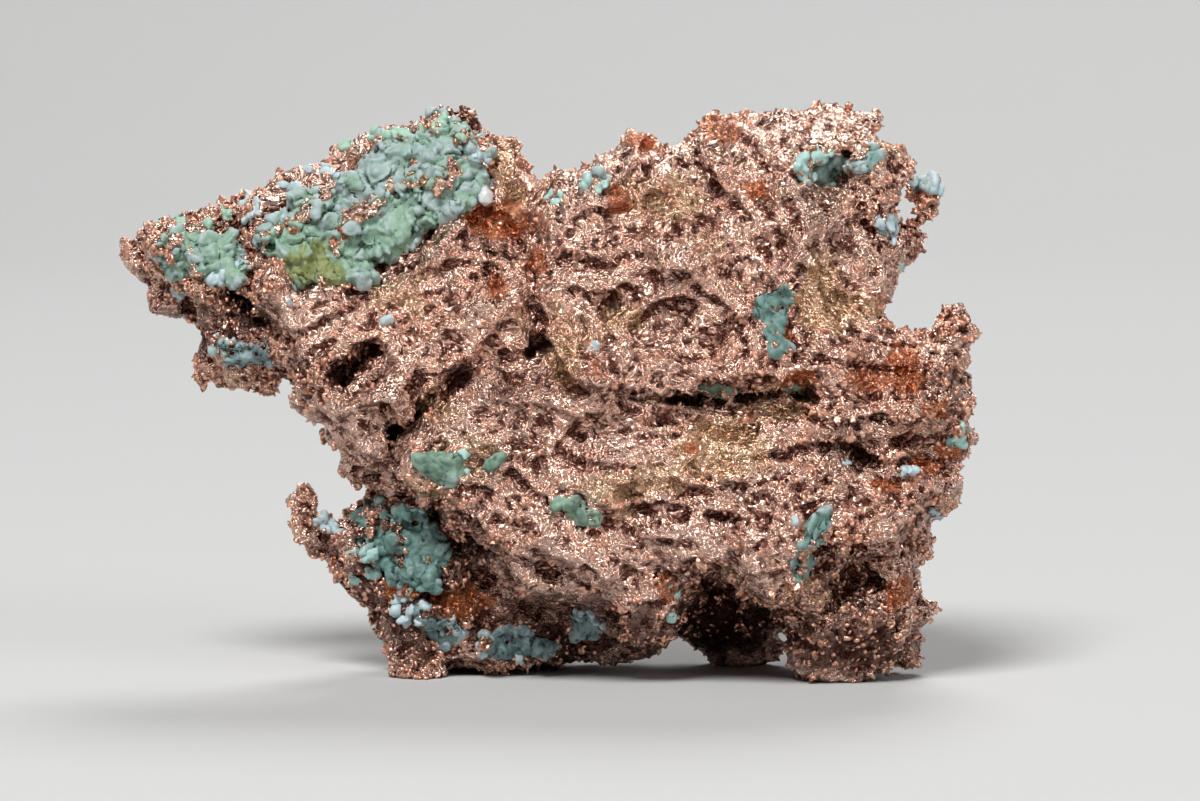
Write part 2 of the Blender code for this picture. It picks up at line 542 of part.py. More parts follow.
def ground(cutters):
    """A block whose top is the resting plane."""
    mesh = bpy.data.meshes.new("ground")
    form = bmesh.new()
    block = Matrix.Diagonal((3 * LENGTH * MM, 3 * LENGTH * MM, 20 * MM, 1))
    top = Matrix.Translation((0, 0, (FOOT_WEAR - 10) * MM))
    bmesh.ops.create_cube(form, size=1, matrix=top @ block)
    form.to_mesh(mesh)
    form.free()
    block = link_mesh("ground", mesh, cutters)
    block.hide_render = True
    block.display_type = "WIRE"
    return block


# ---------------------------------------------------------------- the crusts
def landing_points(view, outline, spacing, bvh):
    """Where grains on a staggered grid inside the outline land on the copper."""
    side = 1 if view == FRONT else -1
    low = np.min(outline, axis=0)
    high = np.max(outline, axis=0)
    found = []
    for row in range(int((high[1] - low[1]) / (spacing * 0.87)) + 2):
        for column in range(int((high[0] - low[0]) / spacing) + 2):
            x = low[0] + (column + 0.5 * (row % 2)) * spacing
            z = low[1] + row * spacing * 0.87
            wander = noise_vector(Vector((x, side * 5, z)) * 0.7)
            x += wander.x * spacing * 0.35
            z += wander.z * spacing * 0.35
            if depth_inside(np.array([[x, z]]), outline)[0] < 0.15 * spacing:
                continue
            start = Vector((x, -60 * side, z)) * MM
            hit = bvh.ray_cast(start, Vector((0, side, 0)))[0]
            if hit is not None:
                found.append(hit / MM)
    if not found:
        raise ValueError(f"no grain of the crust at {outline[0]} lands on the copper")
    middle = np.median([point.y for point in found])
    return [point for point in found if abs(point.y - middle) < 5]


def boxes_meet(one, other):
    first, second = coordinates(one.data), coordinates(other.data)
    return bool(np.all(first.min(axis=0) < second.max(axis=0))
                and np.all(second.min(axis=0) < first.max(axis=0)))


def make_crust(name, form, bvh, gap_cutters, collection, cutters):
    view, outline, grain, bed, proud, faces = form
    side = 1 if view == FRONT else -1
    grains = []
    for n, point in enumerate(landing_points(view, outline, grain, bvh)):
        turn = noise_vector(point * 1.7)
        size = grain * (0.82 + 0.3 * noise.noise(point * 0.6))
        sizes = (size * 1.1, (bed + proud) * (0.95 + 0.5 * turn.x), size)
        spin = Matrix.Rotation(turn.y * 2, 4, "Y") @ Matrix.Rotation(turn.z, 4, "X")
        point.y -= side * proud * 0.1
        grains.append(ball(f"{name} grain {n}", point, sizes, collection, 2, spin))
    crust = remesh(join(name, grains, collection), min(0.6, grain * 0.4))
    crust = decimate(crust, faces)
    for cutter in gap_cutters:
        if boxes_meet(crust, cutter):
            crust = cut(crust, cutter)
    crust = keep_largest_shell(crust)
    crust.name = crust.data.name = name
    return crust


def swollen(piece, cutters):
    """A finished piece grown by the gap, which its neighbours are cut back to."""
    grown = link_mesh(f"swollen {piece.name}", piece.data.copy(), cutters)
    places = coordinates(grown.data)
    normals = coordinates(grown.data, "normal")
    set_coordinates(grown.data, places + normals * GAP * 1.15)
    grown.hide_render = True
    grown.display_type = "WIRE"
    return grown


def fit_to_box(objects):
    """Scale and move everything, so that the nugget has its driving dimensions."""
    corners = np.vstack([coordinates(obj.data) for obj in objects])
    low, high = corners.min(axis=0), corners.max(axis=0)
    scale = np.array((LENGTH, DEPTH, HEIGHT)) / (high - low)
    middle = np.array(((low[0] + high[0]) / 2, (low[1] + high[1]) / 2, low[2]))
    for obj in objects:
        set_coordinates(obj.data, (coordinates(obj.data) - middle) * scale)


def main():
    clear_scene()
    nugget = new_collection("Native copper nugget")
    cutters = new_collection("Cutters")
    copper = make_copper(nugget, cutters)
    bvh = BVHTree.FromPolygons([v.co for v in copper.data.vertices],
                               [p.vertices for p in copper.data.polygons])
    pieces = [copper]
    gap_cutters = [swollen(copper, cutters)]
    for name, form in CRUSTS.items():
        pieces.append(make_crust(name, form, bvh, gap_cutters, nugget, cutters))
        gap_cutters.append(swollen(pieces[-1], cutters))
    fit_to_box(pieces)
    for piece in pieces:
        piece.data.materials.clear()
        if piece is copper:
            piece.data.materials.append(material("Native copper", COPPER))
        elif piece.name in BLUE_GREY_CRUSTS:
            piece.data.materials.append(material(f"{piece.name} blue-grey", BLUE_GREY))
        else:
            piece.data.materials.append(material(f"{piece.name} green", GREEN))


main()
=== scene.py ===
import itertools
import json
import math

import bmesh
import bpy
import numpy as np
from bpy.props import FloatProperty, FloatVectorProperty, IntProperty, PointerProperty
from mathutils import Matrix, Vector
from mathutils.bvhtree import BVHTree

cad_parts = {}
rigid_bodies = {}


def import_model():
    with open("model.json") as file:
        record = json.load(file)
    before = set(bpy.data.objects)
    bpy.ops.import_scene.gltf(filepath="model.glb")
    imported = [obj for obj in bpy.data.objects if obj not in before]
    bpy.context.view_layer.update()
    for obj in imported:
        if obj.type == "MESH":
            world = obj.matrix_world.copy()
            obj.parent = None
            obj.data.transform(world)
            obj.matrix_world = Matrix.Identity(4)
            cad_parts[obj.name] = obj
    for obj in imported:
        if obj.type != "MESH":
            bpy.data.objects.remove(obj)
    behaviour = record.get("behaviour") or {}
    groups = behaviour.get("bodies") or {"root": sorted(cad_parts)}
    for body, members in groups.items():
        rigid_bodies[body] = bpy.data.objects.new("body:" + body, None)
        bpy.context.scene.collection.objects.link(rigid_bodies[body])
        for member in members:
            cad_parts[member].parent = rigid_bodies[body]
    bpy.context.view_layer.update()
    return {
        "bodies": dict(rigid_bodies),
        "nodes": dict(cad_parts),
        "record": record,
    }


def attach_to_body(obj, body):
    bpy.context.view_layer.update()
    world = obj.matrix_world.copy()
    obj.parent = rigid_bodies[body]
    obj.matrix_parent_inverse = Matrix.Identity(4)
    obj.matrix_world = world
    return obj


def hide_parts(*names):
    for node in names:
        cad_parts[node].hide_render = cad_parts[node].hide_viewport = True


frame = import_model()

bl_info = {
    "name": "Native copper nugget",
    "version": (1, 0, 0),
    "blender": (4, 5, 0),
    "location": "3D View > Sidebar > Nugget",
    "description": "Dresses the nugget's solids with a torn copper skin and mineral crusts",
    "category": "Object",
}

MM = 0.001
BODY = "root"
COPPER_NODE = "copper_mass"
SKIN_NAME = "copper_skin"
FACE_AXIS = np.array((0.0, -1.0, 0.0))  # the way that the broad face looks
FLOOR_REACH = 2.1  # radius of the floor's flat part, in metres
FLOOR_BEND = 1.0  # how far the floor's rim curves out and up, in metres
FLOOR_MIDDLE = -1.2  # y of the floor's middle, in metres
CONTACT = 0.02  # the lowest that copper reaches above the floor, in millimetres
RAY_START = 40  # how far from the middle plane rays start, in millimetres
SKIN_SHELL, CRUST_SHELL = 400, 60  # fewest vertices of a loose shell that is kept
RIM_PLACES = 6000  # places on the crusts that are tried for copper rims
BACK_GRAINS = 34  # loose grains that are tried round each crust of the back
FIRST_CRUST_GRID = 0.35 * MM

VIEW_MIDDLE = (0.0044, 0, 0.0257)  # what the camera and the lights aim at, in metres
LIGHTS = (  # name, place, diameter in metres, power in watts
    ("key_light", (-0.40, -1.20, 1.50), 0.70, 40.0),
    ("fill_light", (1.20, -1.00, 0.70), 0.70, 6.0),
    ("back_light", (0.25, 1.10, 1.30), 0.80, 15.0))
SURROUND_STRENGTH = 0.05
EXPOSURE = 0.08

# Runs of folds on the broad face: centre x, z and radius in millimetres, angle in degrees.
FOLD_RUNS = (
    (-15, 33, 8, 42), (-17, 38, 6, 28), (-5, 24, 8, -18), (0, 38, 7, 100),
    (9, 43, 8, 24), (24, 40, 8, 108), (13, 20, 10, -8), (31, 26, 8, 6),
    (27, 12, 7, 18), (-2, 15, 7, -24), (12, 33, 8, 12), (3, 30, 6, 70))

# Creases of the broad face: half width and depth in millimetres, then the x, z points of each.
CREASES = (
    (0.60, 2.2, ((-13.5, 24.4), (-11.6, 26.4), (-9.3, 28.3), (-7.9, 29.5))),
    (0.60, 1.8, ((-15.3, 26.2), (-14.4, 23.4), (-14.9, 20.6))),
    (0.60, 1.5, ((-7.9, 29.5), (-6.5, 30.7), (-5.1, 31.9), (-4.0, 30.7), (-1.9, 30.7))),
    (0.60, 1.8, ((-1.9, 30.7), (-0.5, 31.7), (0.5, 29.8), (1.9, 27.9), (4.2, 27.2))),
    (0.55, 1.5, ((4.2, 27.2), (7.9, 27.5), (11.6, 27.0), (17.2, 27.2), (21.9, 27.5),
                 (23.9, 26.6))),
    (0.40, 0.9, ((-8.4, 40.8), (-6.0, 43.9), (-4.0, 42.4), (-2.6, 40.1), (-5.4, 39.6))),
    (0.50, 1.1, ((-5.4, 38.0), (-4.7, 35.8))),
    (0.45, 1.1, ((-2.3, 39.6), (-1.6, 36.6), (-0.9, 32.3))),
    (0.40, 0.9, ((1.4, 41.7), (2.1, 43.1), (4.2, 43.9))),
    (0.50, 0.9, ((7.2, 33.3), (8.6, 34.5), (10.9, 35.4), (12.6, 35.1))),
    (0.45, 1.1, ((-3.7, 20.0), (-2.3, 18.7), (-0.8, 17.5), (0.5, 17.3))),
    (0.60, 1.2, ((-7.9, 15.7), (-6.8, 14.2), (-5.9, 12.9))),
    (0.60, 1.0, ((-10.7, 17.8), (-11.1, 14.0), (-10.7, 10.3), (-10.1, 7.9))),
    (0.45, 1.0, ((18.6, 21.4), (22.8, 22.0), (26.3, 22.5), (30.2, 20.6), (36.5, 21.2))),
    (0.40, 0.9, ((22.8, 25.8), (25.8, 24.4), (28.6, 24.9), (32.6, 24.4), (35.3, 25.3))),
    (0.35, 0.6, ((9.3, 15.7), (12.6, 16.4), (17.2, 16.3))),
    (0.35, 0.6, ((12.6, 20.8), (14.9, 18.9), (17.9, 19.3))),
    (0.40, 0.7, ((5.3, 15.9), (7.9, 13.9), (10.5, 13.6))),
    (0.40, 0.6, ((0.5, 22.5), (1.9, 21.4), (4.2, 20.6), (7.9, 20.8))),
    (0.70, 1.1, ((26.0, 11.4), (28.4, 10.8), (30.2, 9.3))),
    (0.40, 0.8, ((9.0, 50.5), (8.4, 47.8), (7.9, 45.5))),
    (0.45, 0.9, ((12.6, 51.4), (13.7, 47.8), (15.5, 45.5), (18.1, 43.0))),
    (0.40, 0.8, ((17.7, 50.7), (19.3, 47.8), (22.6, 46.7))),
    (0.50, 0.9, ((21.1, 44.8), (22.8, 41.3), (22.8, 38.6))),
    (0.40, 0.7, ((-23.7, 32.3), (-19.5, 34.1), (-16.3, 36.1))),
    (0.35, 0.6, ((-17.2, 33.0), (-14.2, 35.4), (-10.7, 36.6), (-5.9, 38.3))),
    (0.35, 0.6, ((-12.6, 37.0), (-9.5, 39.0), (-7.3, 38.8))),
    (0.40, 0.7, ((0.5, 39.9), (4.2, 38.9), (7.9, 40.1), (11.3, 38.3))),
    (0.40, 0.7, ((11.3, 38.3), (13.5, 36.6), (16.7, 33.8), (17.7, 30.9))),
    (0.40, 0.7, ((27.4, 32.8), (31.2, 31.7), (35.8, 32.4))),
    (0.40, 0.7, ((24.2, 30.9), (27.4, 29.8), (32.1, 29.2))),
    (0.35, 0.6, ((2.0, 36.5), (5.0, 36.0), (7.0, 37.0))),
    (0.35, 0.5, ((3.0, 25.0), (6.0, 24.2), (10.0, 24.8), (14.0, 24.0))))

# Brown oxide, with painted shade beneath overhangs and low down, on sheltered copper: x, z, half
# width, half height in millimetres, and strength.
BROWN_AND_SHADE_AREAS = (
    (-4, 28, 7, 3.2, 0.6), (25, 42, 5, 8, 0.5), (30, 22, 10, 5, 0.5), (28, 5, 9, 6, 0.8),
    (-12, 10, 12, 9, 0.95), (-31, 33, 8, 5, 0.8), (2, 5, 13, 5, 0.95), (36, 25, 4, 8, 0.6),
    (15, 4, 7, 5, 1.0), (-6, 41.5, 3.6, 2.4, 0.7), (-1, 34, 4, 6, 0.35), (10, 34, 4, 2.5, 0.35),
    (-22, 29, 6, 3.5, 0.5), (33, 13, 5, 8, 0.5), (-33, 46, 6, 5, 0.4), (-14, 47, 9, 5, 0.45),
    (-6, 20, 4, 3, 0.6))

# Painted shade on copper and crusts where deep shade falls, in the same form.
SHADED_AREAS = (
    (15.5, 4.5, 6.5, 5.5, 1.0), (6, 3.0, 6, 3.5, 0.6), (-9, 6, 9, 6, 0.5), (-18.5, 11, 6, 5, 0.65),
    (22, 3.5, 4, 3.5, 0.7), (-28.5, 34.5, 4, 2.4, 0.8), (24.5, 10.0, 3, 3, 0.6),
    (-14, 4.0, 7, 5, 0.75), (29, 2.5, 9, 4, 0.8), (-2, 3.0, 8, 3, 0.85))

# Spots of tarnish on the broad face: x, z, half width, half height, in millimetres.
ORANGE_SPOTS = (
    (32, 30, 1.6, 1.5), (29.2, 28.3, 2.6, 1.2), (32.4, 28.2, 1.8, 1.0),
    (35, 25.8, 1.4, 1.0), (36.6, 22, 1.6, 1.4), (34, 20.3, 1.8, 0.9),
    (32, 8.6, 1.8, 1.6), (6, 44.8, 1.2, 1.2), (8.4, 50, 1.8, 1.2), (15.6, 51.2, 2.2, 1.4),
    (-11.6, 47.8, 1.6, 1.1), (-19.6, 41.5, 1.4, 1.0), (-5.2, 43, 3.6, 1.8),
    (-1.4, 39.4, 1.0, 1.4), (-5, 36.8, 1.0, 1.3), (13, 22.5, 1.4, 0.6),
    (21, 33, 1.0, 2.0), (-24.5, 41, 2.0, 1.0), (-8.5, 7.2, 3.0, 1.6), (10.4, 9.2, 1.0, 1.4),
    (22.5, 28.5, 2.0, 0.8), (30.5, 18.6, 1.6, 0.8), (-14, 8.4, 2.0, 1.4), (18.6, 45.8, 1.4, 1.0))
GOLD_SPOTS = (
    (11.3, 44.8, 2.4, 2.2), (15, 22, 5.0, 3.0), (10, 19.5, 3.2, 1.6), (27.6, 34.8, 3.0, 1.6),
    (-15, 36, 2.4, 1.4), (5, 19, 2.6, 1.4), (24.5, 36, 2.6, 4.2), (-3.4, 45, 1.2, 1.6),
    (1, 30.5, 1.6, 2.6), (-4.4, 47.8, 1.4, 2.2), (-13, 46.4, 3.4, 1.6),
    (-25.4, 41.6, 1.4, 2.4), (-10.5, 25.6, 2.4, 1.0), (19.5, 25.5, 3.2, 1.2),
    (6.5, 34, 2.0, 1.4))

# Where grains of copper crowd: x, z, half width, half height in millimetres, and how densely.
HACKLY_AREAS = (
    (34, 24, 8, 12, 0.6), (28, 8, 9, 8, 0.8), (-32, 40, 8, 9, 0.9), (-27, 28, 8, 5, 0.8),
    (-14, 12, 12, 9, 0.7), (-10, 3, 16, 5, 0.7), (33, 45, 6, 6, 0.8), (-8, 51, 6, 5, 0.8),
    (12, 7, 8, 5, 0.7), (20, 28, 8, 5, 0.35), (22, 15, 8, 6, 0.45), (-18, 22, 6, 6, 0.4))

# Crusts that lie flat like a leaf, without standing grains.
SMOOTH_CRUSTS = ("belly_crust", "centre_vein_crust", "cheek_fleck_crust",
                 "ledge_crust_left", "ledge_crust_right", "left_slot_crust", "lower_vein_crust",
                 "right_edge_crust")

# Painted shade: how much darker than usual a crust that lies in a hollow or in deep shade is; the
# others are not darker.
CRUST_SHADE_DEPTHS = {
    "belly_crust": 0.58, "centre_vein_crust": 0.56, "cheek_fleck_crust": 0.60,
    "ledge_crust_left": 0.64, "ledge_crust_right": 0.60, "left_slot_crust": 0.62,
    "claw_crust_upper": 0.52, "claw_crust_lower": 0.50, "claw_foot_crust": 0.50,
    "claw_side_crust": 0.50, "right_edge_crust": 0.50}

# Copper that stands through the crusts: x, z, half length, radius, slope in degrees.
ISLANDS = (
    (-19.4, 41.2, 1.5, 0.55, 60), (-17.3, 43.6, 1.6, 0.7, 20), (-15.8, 44.6, 1.3, 0.6, 50),
    (-12.6, 46.6, 2.4, 0.9, 8), (-9.8, 46.4, 1.5, 0.9, 70), (-15.6, 50.4, 1.8, 0.6, 25),
    (-13.5, 51.6, 1.2, 0.5, 10), (-20.8, 45.8, 1.1, 0.6, 80), (-24.8, 42.4, 2.2, 0.8, 15),
    (-26.4, 45.4, 1.2, 0.6, 60), (-8.0, 50.2, 1.6, 0.7, 110), (-6.0, 48.8, 1.2, 0.6, 130),
    (-22.4, 44.0, 0.8, 0.45, 40), (-17.8, 49.0, 1.0, 0.45, 30), (-10.6, 52.0, 0.9, 0.4, 70),
    (-35.6, 40.2, 1.4, 0.5, 20), (-32.6, 38.4, 1.2, 0.5, 100), (-20.2, 13.6, 1.8, 0.7, 120),
    (-16.8, 15.0, 1.6, 0.7, 60), (-17.6, 11.2, 1.2, 0.6, 30), (-14.4, 12.6, 1.8, 0.7, 110),
    (-11.8, 6.2, 1.2, 0.5, 40), (-6.4, 3.6, 1.0, 0.5, 90), (24.8, 49.6, 2.2, 0.7, 10),
    (27.6, 49.0, 1.2, 0.6, 70), (20.2, 31.6, 1.0, 0.35, 70))

# Single mineral grains on the front, by finish: x, z, half width and half height of the area
# in millimetres, how many, and their largest radius.
LOOSE_GRAINS = {
    "green_crust": (
        (-14.5, 51, 7, 2.2, 36, 0.8), (-33.6, 43, 4.4, 1.2, 14, 0.65)),
    "turquoise_crust": (
        (4.2, 46.2, 1.6, 0.7, 8, 0.6), (0.2, 45, 1, 0.6, 5, 0.45),
        (24.6, 47.6, 2.4, 1.7, 44, 0.62), (32.4, 38.9, 0.5, 0.8, 4, 0.5),
        (37.4, 22.8, 1.1, 1.2, 8, 0.7), (-13.6, 15.6, 1.6, 1, 8, 0.6),
        (-17.6, 10.4, 1.4, 2.2, 14, 0.65), (11, 8.2, 0.7, 2, 6, 0.55),
        (-9.5, 20.6, 2.6, 1.4, 8, 0.55)),
    "blue_grey_crust": (
        (-22.5, 47.4, 4, 1.8, 10, 0.75), (-26.5, 44.4, 2.6, 2.6, 9, 0.8),
        (-30.2, 39, 2, 2.4, 14, 0.8), (-34.8, 34.6, 0.9, 2.2, 8, 0.55),
        (-8, 48.8, 2.4, 2.6, 10, 0.75), (35.2, 46.4, 1.3, 1.2, 8, 0.75),
        (30.8, 41.8, 1.4, 1.4, 12, 0.65), (32.3, 44.1, 0.9, 0.6, 4, 0.55),
        (35.5, 16, 0.6, 1, 5, 0.55), (26.8, 20.8, 0.2, 0.2, 2, 0.55),
        (28.8, 20.4, 0.1, 0.1, 1, 0.5), (31.2, 21.5, 0.1, 0.1, 1, 0.5),
        (32.7, 20, 0.7, 0.3, 3, 0.42), (22.2, 15.9, 0.5, 0.3, 3, 0.4),
        (-15.5, 34.1, 0.3, 0.3, 2, 0.55), (-24, 35.6, 0.2, 0.2, 1, 0.5),
        (3.9, 31.5, 0.2, 0.3, 3, 0.62), (-20.8, 14.2, 1.4, 1.2, 10, 0.6),
        (-13.2, 6.4, 1.6, 1.4, 16, 0.62), (-9.4, 4.2, 1.2, 1.6, 12, 0.62),
        (-4, 2.8, 3.4, 1, 22, 0.62), (3.4, 5.4, 1.6, 1.2, 14, 0.6))}
OLIVE_STAIN = (-22.0, 38.6, 4.2, 2.6)  # x, z, half width and half height, in millimetres
CRYSTAL_PLACE = (-6.2, 45.0, 0.95)  # x, z and radius of the white crystal, in millimetres


# ---------------------------------------------------------------- settings
def length(name, description, default):
    """A length, whose default is given in millimetres."""
    return FloatProperty(
        name=name, description=description, default=default * MM, unit="LENGTH")


def number(name, description, default):
    return IntProperty(name=name, description=description, default=default)


def colour(name, description, *default):
    return FloatVectorProperty(
        name=name, description=description, subtype="COLOR", size=3, default=default)


class CopperSettings(bpy.types.PropertyGroup):
    """Sizes and colours of the copper skin."""

    rough_grid: length("Rough grid", "Grid of the first copper skin", 0.45)
    fine_grid: length("Fine grid", "Grid of the finished copper skin", 0.26)
    skin_faces: number("Skin faces", "Most triangles that the skin keeps", 192000)
    crag_height: length("Crag height", "Height of the torn crags", 0.80)
    fold_height: length("Fold height", "Height of the folds of the broad face", 1.10)
    crumple_height: length("Crumple height", "Height of the smallest crumples", 0.40)
    nodules: number("Nodules", "Lumps of copper that are fused with the skin", 800)
    grains: number("Grains", "Small sharp grains of copper on the skin", 8800)
    flakes: number("Flakes", "Thin torn flakes of copper on the skin", 1100)
    bright: colour("Bright copper", "Clean copper on the crests", 0.97, 0.665, 0.54)
    # Painted shade: the dark copper laid in creases, grooves and folds.
    deep: colour("Deep copper", "Copper in the folds", 0.15, 0.052, 0.036)
    # Brown oxide, also laid as painted shade beneath overhangs and on down-facing surfaces.
    brown: colour("Brown oxide", "Brown oxide on sheltered copper", 0.115, 0.05, 0.036)
    # Painted shade: the near-black red-brown laid in broad hollows and where deep shade falls.
    pit: colour("Pit", "Dark red-brown oxide in the pits", 0.06, 0.022, 0.016)
    orange: colour("Orange oxide", "Orange-red tarnish spots", 0.50, 0.16, 0.06)
    gold: colour("Gold tarnish", "Olive-gold tarnish", 0.78, 0.56, 0.32)


class CrustSettings(bpy.types.PropertyGroup):
    """Sizes and colours of the mineral crusts."""

    grid: length("Crust grid", "Grid of the crusts' surface", 0.17)
    grain: length("Grain", "Usual width of a mineral grain", 1.7)
    green: colour("Green", "Waxy green grains", 0.25, 0.39, 0.29)
    turquoise: colour("Turquoise", "Turquoise grains", 0.16, 0.29, 0.26)
    blue_grey: colour("Blue-grey", "Blue-grey grains", 0.20, 0.29, 0.30)
    # Painted highlight: the pale colour laid on the grains' raised crests.
    highlight_pale: colour("Bleached", "Pale crests of the grains", 0.36, 0.45, 0.45)
    # Dark joints between the grains, also laid as painted shade in hollows and on shaded crusts.
    crack: colour("Crack", "Dark green between the grains", 0.006, 0.035, 0.028)
    olive: colour("Olive", "Olive stain low on the upper arm's crust", 0.24, 0.27, 0.10)
    crystal: colour("Crystal", "Milky clear crystal", 0.94, 0.96, 0.96)


class StageSettings(bpy.types.PropertyGroup):
    """Floor, surround and camera."""

    floor_colour: colour("Floor colour", "Plain pale floor", 0.52, 0.52, 0.515)
    surround: colour("Surround", "Faint light from all sides", 0.75, 0.78, 0.82)
    camera_distance: length("Camera distance", "From the camera to the nugget's middle", 500)
    camera_elevation: FloatProperty(
        name="Camera elevation", description="Height of the camera above the horizon",
        default=math.radians(4), subtype="ANGLE")
    view_width: length("View width", "Width that the picture covers at the nugget", 112.2)


# ---------------------------------------------------------------- noise
TABLE = 256
TABLE_ORDER = np.random.default_rng(11).permutation(TABLE)
TABLE_VECTORS = np.random.default_rng(12).normal(size=(TABLE, 3)).astype(np.float32)
TABLE_VECTORS /= np.linalg.norm(TABLE_VECTORS, axis=1, keepdims=True)
TABLE_PLACES = np.random.default_rng(13).random((TABLE, 3)).astype(np.float32)
TURNS = np.linalg.qr(np.random.default_rng(14).normal(size=(16, 3, 3)))[0].astype(np.float32)


def dot(one, other):
    """The dot product of each row with its partner."""
    return np.einsum("ij,ij->i", one, other)


def smooth_step(values, low, high):
    """0 below low and 1 above high, with an eased slope between them."""
    part = np.clip((values - low) / (high - low), 0, 1)
    return part * part * (3 - 2 * part)


def table_index(cells, seed):
    """A repeatable random number, 0 to 255, for each cell of space."""
    found = TABLE_ORDER[(cells[:, 0] + seed) % TABLE]
    found = TABLE_ORDER[(found + cells[:, 1]) % TABLE]
    return TABLE_ORDER[(found + cells[:, 2]) % TABLE]


def noise_at(points, size, seed=0):
    """Smooth gradient noise, about -1 to 1, with lumps of the given size in millimetres."""
    place = (points / size + 0.37 * seed).astype(np.float32)
    cells = np.floor(place).astype(np.int64)
    part = place - cells
    ease = part * part * part * (part * (part * 6 - 15) + 10)
    total = np.zeros(len(points), np.float32)
    for corner in itertools.product((0, 1), repeat=3):
        step = np.array(corner)
        gradients = TABLE_VECTORS[table_index(cells + step, seed)]
        weight = np.prod(np.where(step, ease, 1 - ease), axis=1)
        total += weight * dot(gradients, part - step.astype(np.float32))
    return total * 1.7


def ridges_at(points, size, seed=0):
    """Sharp-crested noise, 0 in the valleys to 1 on the crests."""
    return 1 - np.minimum(1, np.abs(noise_at(points, size, seed)) * 1.8)


def warp(points, size, amount, seed=0):
    """Points pushed about by noise, which bends whatever noise reads them."""
    push = [noise_at(points, size, seed + 5 * k) for k in range(3)]
    return points + amount * np.stack(push, axis=1)


def cells_at(points, size, seed=0):
    """For each point the random number of its cell, its offset from the cell's centre in
    cells, and how near the next cell is: 0 on the border."""
    place = (points / size + 0.53 * seed).astype(np.float32)
    base = np.floor(place).astype(np.int64)
    nearest = np.full(len(points), 9.0, np.float32)
    second = nearest.copy()
    found = np.zeros(len(points), np.int64)
    offset = np.zeros((len(points), 3), np.float32)
    for step in itertools.product((-1, 0, 1), repeat=3):
        cells = base + np.array(step)
        index = table_index(cells, seed)
        away = place - cells.astype(np.float32) - TABLE_PLACES[index]
        distance = dot(away, away)
        closer = distance < nearest
        second = np.where(closer, nearest, np.minimum(second, distance))
        nearest = np.where(closer, distance, nearest)
        found = np.where(closer, index, found)
        offset[closer] = away[closer]
    return found, offset, np.sqrt(second) - np.sqrt(nearest)


def facets_at(points, size, seed=0):
    """Crumpled facets: each cell of space tilts its own way, about -0.5 to 0.5."""
    found, offset, _ = cells_at(points, size, seed)
    return dot(offset, TABLE_VECTORS[found])


def crumple_at(points, size, seed=0):
    """Crumpled foil, about -0.5 to 0.5: flat facets that meet in sharp crests."""
    turn = TURNS[seed % len(TURNS)]
    place = (points / size).astype(np.float32) @ turn + np.float32(0.53 * seed)
    base = np.floor(place).astype(np.int64)
    nearest = np.full(len(points), 9.0, np.float32)
    for step in itertools.product((-1, 0, 1), repeat=3):
        cells = base + np.array(step)
        away = np.abs(place - cells.astype(np.float32) - TABLE_PLACES[table_index(cells, seed)])
        nearest = np.minimum(nearest, away.sum(axis=1))
    return nearest - 0.75


# ---------------------------------------------------------------- mesh helpers
def rows_of(items, name, kind=np.float32):
    """Three numbers for each item of a mesh."""
    values = np.empty(len(items) * 3, kind)
    items.foreach_get(name, values)
    return values.reshape(-1, 3)


def points_of(mesh):
    """Vertex places in millimetres."""
    return rows_of(mesh.vertices, "co").astype(np.float64) / MM


def surface_of(mesh):
    """Vertex places in millimetres, and the vertex normals."""
    return points_of(mesh), rows_of(mesh.vertex_normals, "vector").astype(np.float64)


def triangles_of(mesh):
    """The three vertices of each triangle."""
    mesh.calc_loop_triangles()
    return rows_of(mesh.loop_triangles, "vertices", np.int32)


def place_points(mesh, points):
    """Move the vertices; those that would sink into the floor are laid flat just above it."""
    points[:, 2] = np.maximum(points[:, 2], CONTACT)
    mesh.vertices.foreach_set("co", (points * MM).astype(np.float32).ravel())
    mesh.update()


def mesh_from(name, points, faces):
    """A mesh of triangles from places in millimetres."""
    mesh = bpy.data.meshes.new(name)
    mesh.vertices.add(len(points))
    mesh.loops.add(faces.size)
    mesh.polygons.add(len(faces))
    mesh.loops.foreach_set("vertex_index", faces.astype(np.int32).ravel())
    mesh.polygons.foreach_set("loop_start", np.arange(0, faces.size, 3, dtype=np.int32))
    place_points(mesh, points)
    mesh.validate()
    return mesh


def link(name, data):
    """A new object of the scene that shows a mesh, a light or a camera."""
    obj = bpy.data.objects.new(name, data)
    bpy.context.scene.collection.objects.link(obj)
    return obj


def copy_of_node(node):
    """A free object with a copy of a CAD node's mesh."""
    mesh = frame["nodes"][node].data.copy()
    mesh.materials.clear()
    return link("work", mesh)


def modify(obj, kind, **settings):
    """Replace the object's mesh by what one modifier makes of it."""
    modifier = obj.modifiers.new(kind, kind)
    for name, value in settings.items():
        setattr(modifier, name, value)
    depsgraph = bpy.context.evaluated_depsgraph_get()
    mesh = bpy.data.meshes.new_from_object(obj.evaluated_get(depsgraph))
    obj.modifiers.clear()
    old = obj.data
    obj.data = mesh
    bpy.data.meshes.remove(old)


def fuse(obj, size, factor, times):
    """Fuse what overlaps into one closed skin on a grid of that size, and soften it."""
    modify(obj, "REMESH", mode="VOXEL", voxel_size=size)
    modify(obj, "SMOOTH", factor=factor, iterations=times)


def join_meshes(obj, *meshes):
    """Add other meshes to the object's own."""
    joined = bmesh.new()
    joined.from_mesh(obj.data)
    for mesh in meshes:
        joined.from_mesh(mesh)
    joined.to_mesh(obj.data)
    joined.free()


